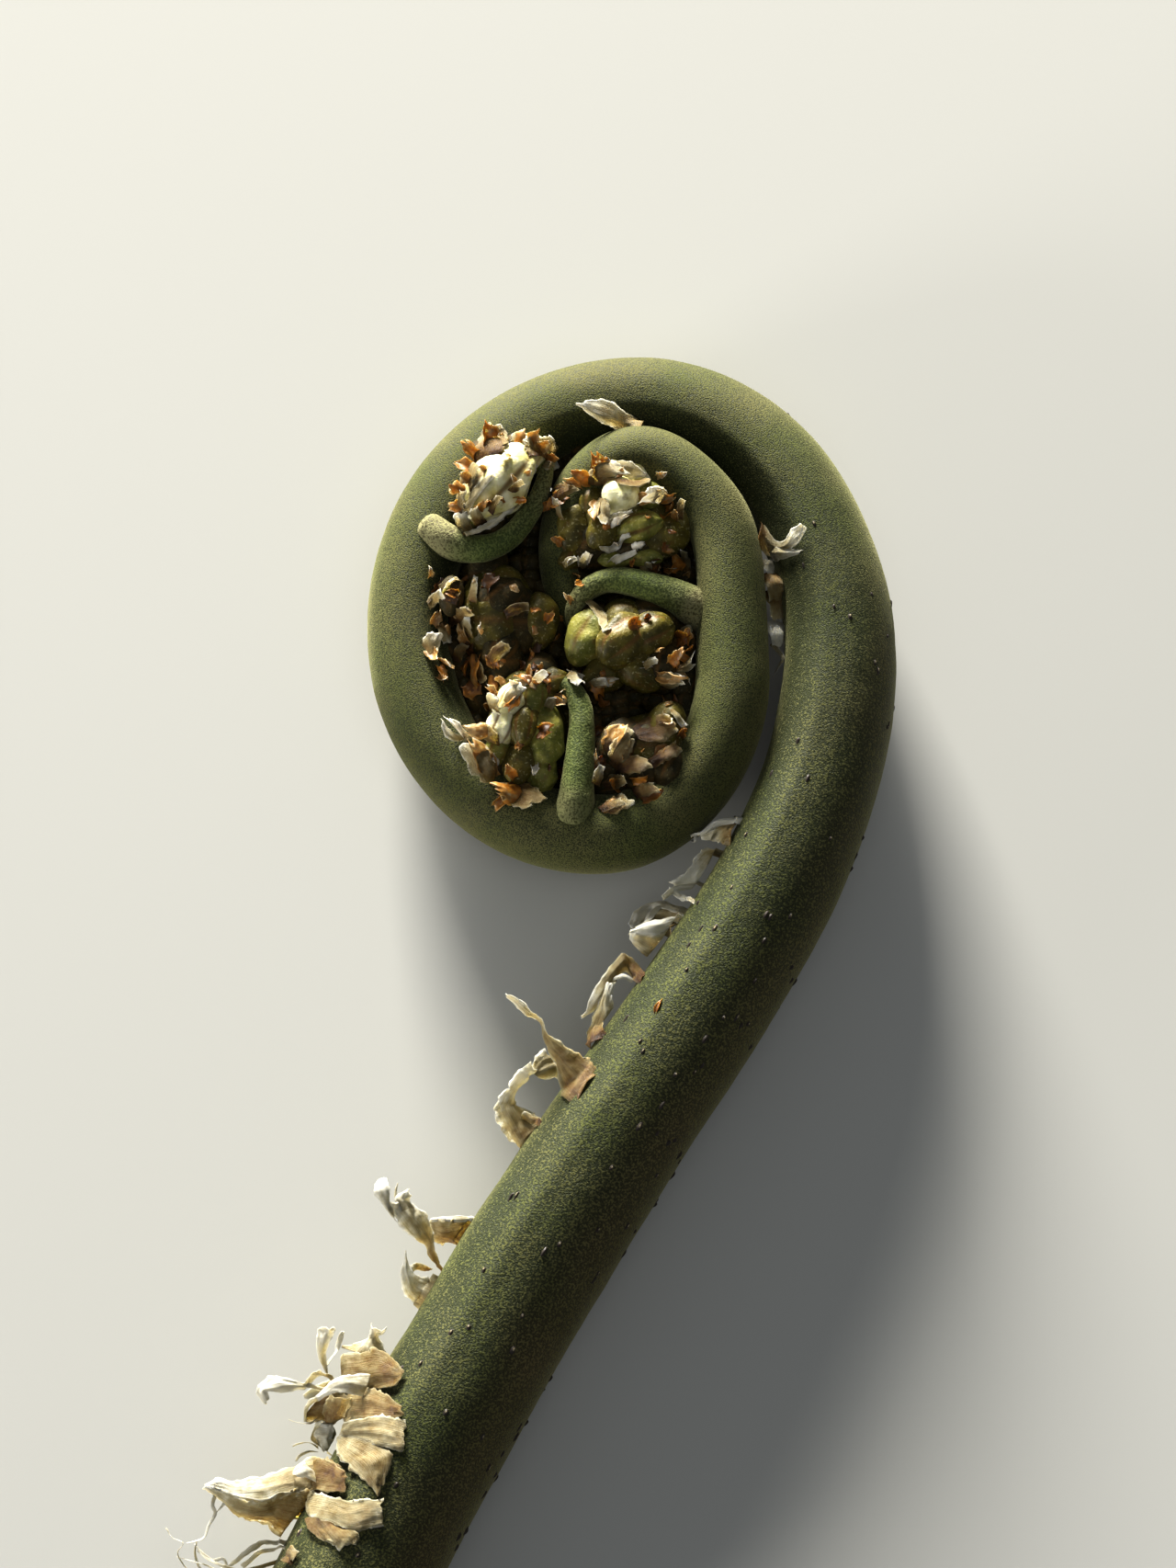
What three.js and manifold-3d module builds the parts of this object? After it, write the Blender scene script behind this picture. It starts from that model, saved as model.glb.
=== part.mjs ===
// The crozier of a tree fern: the coiled, still furled top of a young frond on its stalk, cut off below
// the coil and lying on its side. Millimetres. The coil lies in the XY plane and +Z points up from the
// surface that the crozier rests on.
//
// The stalk and its coil are one tapering limb, drawn as spans between stations and split into nodes as
// it bends. Small side fronds (pinnae) leave its inner edge on the upper and the lower side. Each has a
// curled stem round a bud of bead-like leaflets. Papery scales stand on the inner edge of the stalk.

import * as THREE from "three";
import { mergeVertices } from "three/addons/utils/BufferGeometryUtils.js";
import Module from "manifold-3d";

const wasm = await Module();
wasm.setup();

// Driving sizes, in millimetres and degrees.

const GAP = 0.3; // between neighbouring pieces, which touch on the real plant
const CUT_GAP = 0.36; // what a piece is cut back from its neighbour, so that facets keep the gap
const BUD_GAP = 0.5; // the same for the rounder buds
const FACET = 0.08; // how far a facet of a cut piece may stand off its true surface
const BUD_FACET = 0.12; // the same for the rounder buds

// Stations of the limb's midline: where it is, which way it heads in the XY plane, its half width, and
// how far its inner face is drawn in as a share of that (INNER_FACE_FLAT unless given).
const LIMB = [
  { x: -46.7, y: -156.4, z: 0.9, heading: 65.5, radius: 11.8, flat: 0.03 },
  { x: 1.9, y: -70.6, z: 0.6, heading: 56, radius: 10.4, flat: 0.04 },
  { x: 30.3, y: -5.5, z: 0, heading: 90, radius: 8.8, flat: 0.09 },
  { x: 0.5, y: 33.2, z: -0.8, heading: 180, radius: 7.5 },
  { x: -32.6, y: -1.2, z: -0.6, heading: 270, radius: 6.7 },
  { x: -5.4, y: -33, z: 0.4, heading: 360, radius: 6.2 },
  { x: 14.2, y: -10, z: 3.6, heading: 450, radius: 5.9 },
  { x: 0.8, y: 22.2, z: 5, heading: 540, radius: 4.8 },
  { x: -10.6, y: 8.3, z: 2.6, heading: 630, radius: 3.2 },
  { x: -5, y: -1.8, z: 1, heading: 720, radius: 2.4 },
  { x: 0.4, y: 4.4, z: 0.6, heading: 810, radius: 1.8 },
  { x: -3.2, y: 7.8, z: 0.6, heading: 900, radius: 1.1 },
];

// The limb's nodes, each from one place to the next, counted in stations from the cut end.
const LIMB_NODES = [
  { name: "stalk_lower", from: 0, to: 0.62, rings: 8 },
  { name: "stalk_upper", from: 0.62, to: 1.35, rings: 9 },
  { name: "stalk_bend", from: 1.35, to: 2, rings: 9 },
  { name: "coil_right", from: 2, to: 2.7, rings: 10 },
  { name: "coil_top", from: 2.7, to: 3.5, rings: 11 },
  { name: "coil_left", from: 3.5, to: 4.35, rings: 11 },
  { name: "coil_bottom", from: 4.35, to: 5.1, rings: 10 },
  { name: "coil_foot", from: 5.1, to: 5.65, rings: 8 },
  { name: "inner_right", from: 5.65, to: 6.55, rings: 10 },
  { name: "inner_top", from: 6.55, to: 7.4, rings: 11 },
  { name: "inner_left", from: 7.4, to: 8.1, rings: 9 },
  { name: "coil_tip", from: 8.1, to: 11, rings: 13 },
];
const LIMB_SIDES = 16;
const INNER_FACE_FLAT = 0.12;
const GROOVE_DEPTH = 0.05;
const GROOVE_WIDTH = 20; // degrees either side of the inner midline

// The side fronds of the upper side. Their stems start inside the limb and curl round their own buds.
const PINNAE = [
  {
    name: "pinna_a",
    stem: [
      { x: -33.8, y: 11.6, z: 2.4, heading: -38, radius: 3.3 },
      { x: -25.1, y: 7.1, z: 5, heading: 0, radius: 3.2 },
      { x: -11.8, y: 19, z: 5.4, heading: 90, radius: 2.7 },
      { x: -17.8, y: 26.6, z: 4.6, heading: 180, radius: 1.7 },
    ],
    bud: { x: -19.6, y: 19.2, z: 3.6, wide: 7.2, tall: 8.6, high: 6.6, start: 250, beads: 7 },
  },
  {
    name: "pinna_b",
    stem: [
      { x: 12.2, y: -1, z: 4.6, heading: 158, radius: 3.2 },
      { x: -4, y: 4.1, z: 6, heading: 180, radius: 2.7 },
      { x: -10.4, y: -2.6, z: 5.6, heading: 270, radius: 2.2 },
      { x: -6, y: -9, z: 4.6, heading: 360, radius: 1.4 },
    ],
    bud: { x: -0.2, y: -6, z: 2.4, wide: 9.6, tall: 9.4, high: 7, start: 150, beads: 6 },
  },
  {
    name: "pinna_c",
    stem: [
      { x: -9.2, y: -35.5, z: 3, heading: 88, radius: 3 },
      { x: -7.5, y: -17.4, z: 6.4, heading: 90, radius: 2.8 },
      { x: -12.6, y: -9.4, z: 5.6, heading: 180, radius: 2.2 },
      { x: -17.6, y: -14.6, z: 4.4, heading: 270, radius: 1.3 },
    ],
    bud: { x: -16.6, y: -17.6, z: 2.4, wide: 8.4, tall: 11.4, high: 6.8, start: 60, beads: 7 },
  },
];

// The buds of side fronds whose stems are hidden under the others.
const INNER_BUDS = [
  { name: "bud_top", x: -1.6, y: 13.6, z: 2.2, wide: 10.6, tall: 9, high: 7, start: 40, beads: 6 },
  { name: "bud_left", x: -20.6, y: -1.6, z: 1.6, wide: 8.6, tall: 11.4, high: 6.4, start: 100, beads: 6 },
  { name: "bud_foot", x: 2, y: -21, z: 1.6, wide: 10.6, tall: 9, high: 6.4, start: 20, beads: 6 },
];

// The lower side repeats the upper one, turned a little about the middle of the coil and mirrored.
const COIL_MIDDLE = { x: -8, y: -1 };
const LOWER_TURN = 9;
const LOWER_SCALE = 0.97;
const LOWER_DEPTH = 0.98;

const BLADE_THICKNESS = 0.5;
const BLADE_RINGS = 5;
const MAT_MARGIN = 1.4; // how far the mat under a tuft reaches past the roots of its blades
const MAT_HEIGHT = 1.2;
const MAT_RINGS = 4;

// Papery scales of the stalk in tufts. "down" is the distance below the right-hand side of the coil and
// "around" the angle from the middle of the inner face, positive towards the upper side. Each blade has
// its root, its heading where it leaves and where it ends, its rise out of the XY plane, and its roll
// about its own midline: 0 stands on edge and 90 lies flat. A fin is broadest at its root.
const TUFTS = [
  {
    name: "scales_a",
    blades: [
      { down: 32, around: 8, start: 205, end: 150, length: 5, width: 2.6, rise: 15, roll: 30 },
      { down: 36, around: 16, start: 215, end: 250, length: 5.5, width: 2.4, rise: 10, roll: 45 },
    ],
  },
  {
    name: "scales_b",
    blades: [
      { down: 41, around: 10, start: 190, end: 250, length: 6.4, width: 2.2, rise: 12, roll: 40 },
      { down: 45, around: 4, start: 160, end: 80, length: 4.6, width: 2, rise: 20, roll: 60 },
    ],
  },
  {
    name: "scales_c",
    blades: [
      { down: 51.5, around: 8, start: 196, end: -50, length: 15, width: 6.4, rise: 6, roll: 12 },
      { down: 48.5, around: 22, start: 190, end: 40, length: 7, width: 3.2, rise: 12, roll: 20 },
    ],
  },
  {
    name: "scales_d",
    blades: [
      { down: 60, around: 12, start: 134, end: 268, length: 12, width: 3.4, rise: 2, roll: 40 },
      { down: 70.5, around: 10, start: 108, end: 40, length: 9, width: 3.4, rise: 4, roll: 50 },
    ],
  },
  {
    name: "scales_e",
    blades: [{ down: 79.5, around: 30, start: 112, end: 146, length: 17, width: 6, rise: 6, roll: 74, fin: 1 }],
  },
  {
    name: "scales_f",
    blades: [{ down: 87, around: 4, start: 152, end: -14, length: 18, width: 4, rise: 4, roll: 40 }],
  },
  {
    name: "scales_g",
    blades: [
      { down: 103, around: 8, start: 192, end: 112, length: 17, width: 3.6, rise: 6, roll: 58 },
      { down: 109, around: 2, start: 142, end: 80, length: 6, width: 2.2, rise: 4, roll: 60 },
    ],
  },
  {
    name: "scales_h",
    blades: [{ down: 114.5, around: 6, start: 160, end: 66, length: 8.6, width: 5, rise: 4, roll: 58 }],
  },
  {
    name: "scales_i",
    blades: [
      { down: 128, around: 10, start: 166, end: 206, length: 18, width: 3, rise: 6, roll: 70 },
      { down: 126, around: 4, start: 176, end: 62, length: 10, width: 2.8, rise: 4, roll: 60 },
      { down: 122.5, around: 14, start: 96, end: 74, length: 6, width: 3, rise: 10, roll: 70 },
      { down: 133, around: 8, start: 200, end: 250, length: 9, width: 2.2, rise: 6, roll: 60 },
    ],
  },
  {
    name: "scales_i_flaps",
    blades: [
      { down: 123.5, around: 44, start: -70, end: -36, length: 8.5, width: 7, rise: 14, roll: 84 },
      { down: 128.5, around: 46, start: -50, end: -24, length: 9, width: 6.4, rise: 12, roll: 84 },
      { down: 133, around: 44, start: -66, end: -40, length: 9, width: 5.6, rise: 12, roll: 84 },
    ],
  },
  {
    name: "scales_j",
    blades: [
      { down: 143, around: 12, start: 174, end: 190, length: 18.5, width: 9, rise: 8, roll: 66, fin: 1 },
      { down: 148, around: 4, start: 166, end: 150, length: 14, width: 6, rise: 2, roll: 50 },
    ],
  },
  {
    name: "scales_j_flaps",
    blades: [
      { down: 142, around: 44, start: -12, end: -34, length: 9, width: 5.6, rise: 14, roll: 84 },
      { down: 147, around: 42, start: 6, end: -14, length: 10, width: 5, rise: 14, roll: 84 },
      { down: 150, around: 34, start: -30, end: -70, length: 8, width: 5, rise: 12, roll: 84 },
    ],
  },
  {
    name: "scales_k",
    blades: [
      { down: 155, around: 10, start: 172, end: 120, length: 15, width: 2.4, rise: 8, roll: 60 },
      { down: 158, around: 0, start: 190, end: 252, length: 12, width: 2.2, rise: 0, roll: 50 },
      { down: 157, around: 28, start: -28, end: -60, length: 8, width: 4.6, rise: 16, roll: 84 },
    ],
  },
  {
    name: "scales_l",
    blades: [
      { down: 164.5, around: 14, start: 156, end: 186, length: 14, width: 5.4, rise: 6, roll: 64 },
      { down: 167, around: -6, start: 180, end: 226, length: 11, width: 4.2, rise: -4, roll: 50 },
    ],
  },
  {
    name: "scales_m",
    blades: [
      { down: 124, around: -44, start: -60, end: -36, length: 8, width: 6, rise: -14, roll: 96 },
      { down: 129, around: -24, start: 168, end: 200, length: 11, width: 4, rise: -8, roll: 112 },
    ],
  },
  {
    name: "scales_n",
    blades: [
      { down: 143, around: -42, start: -30, end: -50, length: 8.5, width: 5.4, rise: -14, roll: 96 },
      { down: 148, around: -22, start: 158, end: 190, length: 13, width: 4.6, rise: -6, roll: 114 },
    ],
  },
];

// Scales in the coil. "place" counts stations along the limb.
const COIL_TUFTS = [
  {
    name: "scales_gap",
    blades: [
      { place: 2.26, around: 38, start: 132, end: 20, length: 7.5, width: 3, rise: 52, roll: 40 },
      { place: 2.3, around: 34, start: 110, end: 60, length: 5, width: 2.4, rise: 56, roll: 50 },
    ],
  },
  {
    name: "scales_arch",
    blades: [{ place: 6.96, around: 172, start: 158, end: 172, length: 10.5, width: 3.2, rise: 4, roll: 76 }],
  },
];

const STALK_COLOUR = 0x6f7350;
const BEAD_COLOUR = 0xa9ad6b;
const SCALE_COLOUR = 0xb9936a;

// Small helpers.

const radians = THREE.MathUtils.degToRad;
const mix = THREE.MathUtils.lerp;
const smooth = (t) => t * t * (3 - 2 * t);
const heading = (degrees) => new THREE.Vector3(Math.cos(radians(degrees)), Math.sin(radians(degrees)), 0);
const UP = new THREE.Vector3(0, 0, 1);

// A closed three.js geometry as a manifold solid, and back.
function solidOf(geometry) {
  const bare = geometry.clone();
  bare.deleteAttribute("normal");
  bare.deleteAttribute("uv");
  const merged = mergeVertices(bare, 1e-4);
  return new wasm.Manifold(
    new wasm.Mesh({
      numProp: 3,
      vertProperties: merged.attributes.position.array,
      triVerts: new Uint32Array(merged.index.array),
    }),
  );
}

function geometryOf(solid) {
  const mesh = solid.getMesh();
  const geometry = new THREE.BufferGeometry();
  geometry.setAttribute("position", new THREE.BufferAttribute(new Float32Array(mesh.vertProperties), 3));
  geometry.setIndex(new THREE.BufferAttribute(new Uint32Array(mesh.triVerts), 1));
  const flat = geometry.toNonIndexed();
  flat.computeVertexNormals();
  return flat;
}

const joined = (solids) => solids.reduce((all, next) => all.add(next));

// The largest separate body of a solid, so that a cut leaves no loose scrap.
function largestBody(solid) {
  const bodies = solid.decompose();
  return bodies.reduce((best, body) => (body.volume() > best.volume() ? body : best));
}

// A closed skin through rings of points, each ring turning right-handed about the way ahead.
function loft(rings) {
  const sides = rings[0].length;
  const points = rings.flat();
  const index = [];
  const first = points.length;
  const last = first + 1;
  const middle = (ring) => ring.reduce((sum, p) => sum.add(p), new THREE.Vector3()).divideScalar(sides);
  points.push(middle(rings[0]), middle(rings[rings.length - 1]));
  const top = (rings.length - 1) * sides;
  for (let j = 0; j < sides; j++) {
    const k = (j + 1) % sides;
    for (let row = 0; row < top; row += sides) {
      index.push(row + j, row + k, row + sides + k);
      index.push(row + j, row + sides + k, row + sides + j);
    }
    index.push(first, k, j, last, top + j, top + k);
  }
  const geometry = new THREE.BufferGeometry();
  const flat = points.flatMap((p) => [p.x, p.y, p.z]);
  geometry.setAttribute("position", new THREE.Float32BufferAttribute(flat, 3));
  geometry.setIndex(index);
  return solidOf(geometry);
}

// A tapering limb through stations: its midline, its cross-section and its solid.

// One span as a cubic curve. The handles make a quarter turn a quarter of an ellipse.
function spanCurve(from, to) {
  const start = new THREE.Vector3(from.x, from.y, 0);
  const end = new THREE.Vector3(to.x, to.y, 0);
  const chord = end.clone().sub(start);
  const turn = radians(to.heading - from.heading);
  const share = ((4 / 3) * Math.tan(turn / 4)) / Math.sin(turn);
  const [ahead, behind] = [heading(from.heading), heading(to.heading)];
  return new THREE.CubicBezierCurve3(
    start,
    start.clone().addScaledVector(ahead, share * chord.dot(ahead)),
    end.clone().addScaledVector(behind, -share * chord.dot(behind)),
    end,
  );
}

class Midline {
  constructor(stations) {
    this.stations = stations;
    this.spans = stations.slice(1).map((to, i) => spanCurve(stations[i], to));
    this.last = this.spans.length;
  }

  at(place) {
    const span = Math.min(Math.floor(place), this.last - 1);
    const t = place - span;
    const [from, to] = [this.stations[span], this.stations[span + 1]];
    const centre = this.spans[span].getPoint(t);
    centre.z = mix(from.z, to.z, smooth(t));
    const ahead = this.spans[span].getTangent(t);
    const inward = new THREE.Vector3(-ahead.y, ahead.x, 0);
    const flat = mix(from.flat ?? INNER_FACE_FLAT, to.flat ?? INNER_FACE_FLAT, t);
    return { centre, ahead, inward, radius: mix(from.radius, to.radius, t), flat };
  }

  // The change of place that moves the midline by a length.
  step(place, length) {
    return length / this.spans[Math.min(Math.floor(place), this.last - 1)].getLength();
  }
}

// A limb's reach from its midline, at an angle from the middle of its inner face.
function reach(angle, radius, flat) {
  const facing = Math.max(0, Math.cos(angle));
  const turned = Math.atan2(Math.sin(angle), Math.cos(angle));
  const groove = GROOVE_DEPTH * Math.exp(-((turned / radians(GROOVE_WIDTH)) ** 2));
  return radius * (1 - flat * facing * facing - groove);
}

function surfacePoint(midline, place, angle, clearance) {
  const { centre, inward, radius, flat } = midline.at(place);
  const out = reach(angle, radius, flat) + clearance;
  return centre.clone().addScaledVector(inward, out * Math.cos(angle)).addScaledVector(UP, out * Math.sin(angle));
}

function limbSolid(midline, { from, to, rings, sides, clearance = 0 }) {
  const made = [];
  for (let i = 0; i <= rings; i++) {
    const place = mix(from, to, i / rings);
    const ring = [];
    for (let j = 0; j < sides; j++) ring.push(surfacePoint(midline, place, (2 * Math.PI * j) / sides, clearance));
    made.push(ring);
  }
  return loft(made);
}

// A bud: beads set on a coil that winds in and climbs to the middle. "sign" is -1 on the lower side.
function budSolid(bud, clearance, sign) {
  const beads = [];
  for (let i = 0; i < bud.beads; i++) {
    const inwards = i / (bud.beads - 1);
    const angle = radians(bud.start + 410 * Math.sqrt(inwards));
    const out = 0.66 * (1 - inwards) ** 0.8;
    const size = mix(0.5, 0.62, inwards);
    const bead = new THREE.IcosahedronGeometry(1, 1);
    bead.scale(
      size * bud.wide + clearance,
      size * bud.tall + clearance,
      mix(0.72, 0.9, inwards) * bud.high + clearance,
    );
    bead.translate(
      bud.x + out * bud.wide * Math.cos(angle),
      bud.y + out * bud.tall * Math.sin(angle),
      bud.z + sign * bud.high * 0.22 * inwards,
    );
    beads.push(solidOf(bead));
  }
  return joined(beads);
}

// A point of the upper side carried to the lower one.
function toLower(point) {
  const turned = radians(LOWER_TURN);
  const x = (point.x - COIL_MIDDLE.x) * LOWER_SCALE;
  const y = (point.y - COIL_MIDDLE.y) * LOWER_SCALE;
  return {
    ...point,
    x: COIL_MIDDLE.x + x * Math.cos(turned) - y * Math.sin(turned),
    y: COIL_MIDDLE.y + x * Math.sin(turned) + y * Math.cos(turned),
    z: -point.z * LOWER_DEPTH,
  };
}

function stemToLower(stem) {
  return stem.map((station) => ({ ...toLower(station), heading: station.heading + LOWER_TURN }));
}

// A papery scale: a thin cupped blade whose midline turns evenly from one heading to another.
function bladeSolid(root, { start, end, length, width, rise, roll, fin = 0 }) {
  const rings = [];
  const centre = root.clone();
  for (let i = 0; i <= BLADE_RINGS; i++) {
    const t = i / BLADE_RINGS;
    const flat = heading(mix(start, end, t));
    const lift = radians(rise * (1 - 0.8 * t));
    const ahead = flat.clone().multiplyScalar(Math.cos(lift)).addScaledVector(UP, Math.sin(lift));
    const side = new THREE.Vector3(-flat.y, flat.x, 0);
    const upright = new THREE.Vector3().crossVectors(ahead, side);
    const turned = radians(roll);
    const across = upright.clone().multiplyScalar(Math.cos(turned)).addScaledVector(side, Math.sin(turned));
    const face = new THREE.Vector3().crossVectors(ahead, across);
    const broad = fin ? 0.26 + 0.74 * (1 - t) ** 1.7 : 0.62 + 1.5 * t - 1.95 * t * t;
    const half = 0.5 * width * broad;
    const thick = 0.5 * BLADE_THICKNESS * (1 - 0.45 * t);
    const cup = 0.22 * half;
    rings.push([
      centre.clone().addScaledVector(across, half),
      centre.clone().addScaledVector(face, thick - cup),
      centre.clone().addScaledVector(across, -half),
      centre.clone().addScaledVector(face, -thick - cup),
    ]);
    centre.addScaledVector(ahead, length / BLADE_RINGS);
  }
  return loft(rings);
}

// The mat of overlapping scale bases that lies on the limb's surface and joins the roots of a tuft.
function matSolid(midline, roots) {
  const places = roots.map(({ place }) => place);
  const turns = roots.map(({ around }) => radians(around));
  const margin = midline.step(places[0], MAT_MARGIN);
  const [from, to] = [Math.min(...places) - margin, Math.max(...places) + margin];
  const turned = MAT_MARGIN / midline.at(places[0]).radius;
  const middle = (Math.min(...turns) + Math.max(...turns)) / 2;
  const wide = (Math.max(...turns) - Math.min(...turns)) / 2 + turned;
  const rings = [];
  for (let i = 0; i <= MAT_RINGS; i++) {
    const along = (2 * i) / MAT_RINGS - 1;
    const share = Math.sqrt(1 - (0.92 * along) ** 2);
    const place = mix(from, to, i / MAT_RINGS);
    const spread = [-1, -0.5, 0.5, 1, 0.6, -0.6];
    const height = [0.2, 0.9, 0.9, 0.2, -0.8, -0.8];
    rings.push(
      spread.map((side, j) => surfacePoint(midline, place, middle + side * share * wide, height[j] * MAT_HEIGHT)),
    );
  }
  return loft(rings);
}

// Build.

const group = new THREE.Group();
const cutters = [];

function addNode(name, solid, colour) {
  const material = new THREE.MeshStandardMaterial({ color: colour, roughness: 0.85, metalness: 0 });
  const mesh = new THREE.Mesh(geometryOf(solid), material);
  mesh.name = name;
  group.add(mesh);
}

// Cuts a solid back from all that is already placed, and adds it with its own cutter.
function addCut(name, solid, grown, colour, facet = FACET) {
  const whole = cutters.reduce((left, cutter) => left.subtract(cutter), solid);
  addNode(name, largestBody(largestBody(whole).simplify(facet)), colour);
  cutters.push(grown);
}

const limb = new Midline(LIMB);

for (const { name, from, to, rings } of LIMB_NODES) {
  const start = from === 0 ? 0 : from + limb.step(from, GAP / 2);
  const end = to - limb.step(to - 0.01, to === limb.last ? CUT_GAP : GAP / 2);
  const size = { from: start, to: end, rings, sides: LIMB_SIDES };
  addNode(name, limbSolid(limb, size), STALK_COLOUR);
  const grown = {
    ...size,
    from: Math.max(0, start - limb.step(from, GAP)),
    to: Math.min(limb.last, end + limb.step(to - 0.01, GAP)),
    clearance: CUT_GAP,
  };
  cutters.push(limbSolid(limb, grown));
}

function addStem(name, stations) {
  const midline = new Midline(stations);
  const size = { from: 0, to: midline.last - midline.step(midline.last, CUT_GAP), rings: 12, sides: 8 };
  const grown = { ...size, to: midline.last, clearance: CUT_GAP };
  addCut(name, limbSolid(midline, size), limbSolid(midline, grown), STALK_COLOUR);
}

for (const { name, stem } of PINNAE) {
  addStem(`${name}_stem`, stem);
  addStem(`${name}_stem_lower`, stemToLower(stem));
}

function addBud(name, bud, sign) {
  addCut(name, budSolid(bud, 0, sign), budSolid(bud, BUD_GAP, sign), BEAD_COLOUR, BUD_FACET);
}

const buds = [...PINNAE.map(({ name, bud }) => ({ ...bud, name: `${name}_bud` })), ...INNER_BUDS];
for (const bud of buds) {
  addBud(bud.name, bud, 1);
  addBud(`${bud.name}_lower`, { ...toLower(bud), beads: Math.min(4, bud.beads - 2) }, -1);
}

// The place on the stalk at a distance below the right-hand side of the coil.
function placeBelow(distance) {
  const lengths = limb.spans.map((span) => span.getLength());
  const span = distance < lengths[1] ? 1 : 0;
  const left = distance - (span === 1 ? 0 : lengths[1]);
  return span + limb.spans[span].getUtoTmapping(1 - left / lengths[span]);
}

for (const { name, blades } of [...TUFTS, ...COIL_TUFTS]) {
  const rooted = blades.map((blade) => ({ ...blade, place: blade.place ?? placeBelow(blade.down) }));
  const solids = [matSolid(limb, rooted)];
  for (const blade of rooted) {
    const root = surfacePoint(limb, blade.place, radians(blade.around), -0.4);
    solids.push(bladeSolid(root, blade));
  }
  const tuft = joined(solids);
  addCut(name, tuft, tuft, SCALE_COLOUR);
}

// Set the origin under the middle of the whole crozier, on the surface it rests on.
const box = new THREE.Box3().setFromObject(group);
const middle = box.getCenter(new THREE.Vector3());
for (const mesh of group.children) mesh.geometry.translate(-middle.x, -middle.y, -box.min.z);

export default group;
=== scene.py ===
import math

import bpy
import numpy as np
from mathutils import Matrix, Vector
from mathutils.bvhtree import BVHTree


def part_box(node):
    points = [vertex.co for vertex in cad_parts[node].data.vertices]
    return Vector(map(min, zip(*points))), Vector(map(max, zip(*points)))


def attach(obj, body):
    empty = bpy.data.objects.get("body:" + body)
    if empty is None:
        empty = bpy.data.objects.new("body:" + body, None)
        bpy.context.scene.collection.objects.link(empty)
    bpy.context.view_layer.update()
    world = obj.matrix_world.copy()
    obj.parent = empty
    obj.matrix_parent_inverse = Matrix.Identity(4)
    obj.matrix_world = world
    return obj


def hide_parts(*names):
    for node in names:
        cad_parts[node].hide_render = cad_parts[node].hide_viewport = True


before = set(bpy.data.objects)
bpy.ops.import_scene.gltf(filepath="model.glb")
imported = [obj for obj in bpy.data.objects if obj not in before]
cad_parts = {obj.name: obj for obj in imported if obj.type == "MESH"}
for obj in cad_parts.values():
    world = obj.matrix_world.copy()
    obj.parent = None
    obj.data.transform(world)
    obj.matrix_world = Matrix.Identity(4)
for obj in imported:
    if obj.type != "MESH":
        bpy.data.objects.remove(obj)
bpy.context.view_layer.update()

# A tree fern crozier, lying on its side. The shapes are worked out in millimetres in the frame that the
# solids were drawn in, and are carried to the part's frame by one shift, in place_of().

rng = np.random.default_rng(11)

# Sizes and stations of the solids, as in their source: x, y, z, heading, radius, inner face drawn in.
LIMB = [
    (-46.7, -156.4, 0.9, 65.5, 11.8, 0.03),
    (1.9, -70.6, 0.6, 56, 10.4, 0.04),
    (30.3, -5.5, 0, 90, 8.8, 0.09),
    (0.5, 33.2, -0.8, 180, 7.5),
    (-32.6, -1.2, -0.6, 270, 6.7),
    (-5.4, -33, 0.4, 360, 6.2),
    (14.2, -10, 3.6, 450, 5.9),
    (0.8, 22.2, 5, 540, 4.8),
    (-10.6, 8.3, 2.6, 630, 3.2),
    (-5, -1.8, 1, 720, 2.4),
    (0.4, 4.4, 0.6, 810, 1.8),
    (-3.2, 7.8, 0.6, 900, 1.1),
]
FLAT = 0.12  # how far the inner face is drawn in where a station doesn't say
# Midlines of the stems of the shown side, traced over the photograph: pixel, height and radius.
STEMS = {
    "pinna_a_stem": [
        (468, 574, 5.0, 2.3), (484, 585.5, 5.5, 2.45), (505, 595, 5.7, 2.3), (531, 594.5, 6.0, 2.1),
        (556, 582, 6.1, 1.85), (576, 558, 6.0, 1.6), (588, 534, 5.8, 1.4), (594, 510, 5.4, 1.2),
        (591, 490, 4.8, 1.0), (582, 476, 4.2, 0.8),
    ],
    "pinna_b_stem": [
        (784, 678, 2.6, 3.2), (764, 667, 4.2, 3.1), (746, 656, 5.5, 2.9), (725, 646, 6.1, 2.6),
        (698, 637, 6.3, 2.3), (678, 632.5, 6.3, 2.1), (658, 633, 6.2, 1.9), (640, 642, 5.9, 1.7),
        (628, 656, 5.3, 1.5), (624, 672, 4.3, 1.3), (628, 687, 3.0, 1.0),
    ],
    "pinna_c_stem": [
        (622, 890, 4.6, 2.8), (625, 874, 5.3, 2.85), (627, 852, 5.9, 2.6), (630, 825, 6.2, 2.35),
        (632, 795, 6.3, 2.1), (631, 772, 6.1, 1.9), (624, 754, 5.7, 1.7), (611, 744, 5.2, 1.5),
        (596, 742, 4.7, 1.35), (583, 747, 4.2, 1.2), (573, 758, 3.6, 0.9),
    ],
}
# Buds: middle, half sizes in the lying plane and up, the angle where the beads start, and their count.
BUDS = {
    "pinna_a_bud": (-19.6, 19.2, 3.6, 7.2, 8.6, 6.6, 250, 7),
    "pinna_b_bud": (-0.2, -6, 2.4, 9.6, 9.4, 7, 150, 6),
    "pinna_c_bud": (-16.6, -17.6, 2.4, 8.4, 11.4, 6.8, 60, 7),
    "bud_top": (-1.6, 13.6, 2.2, 10.6, 9, 7, 40, 6),
    "bud_left": (-20.6, -1.6, 1.6, 8.6, 11.4, 6.4, 100, 6),
    "bud_foot": (2, -21, 1.6, 10.6, 9, 6.4, 20, 6),
}
# The groove in the inner face, as a share of the radius and in degrees, and the gap between solids.
GROOVE_DEPTH = 0.05
GROOVE_WIDTH = 20
GAP = 0.3
UP = np.array([0.0, 0.0, 1.0])
COIL_MIDDLE = np.array([-8.0, -1.0])

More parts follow.
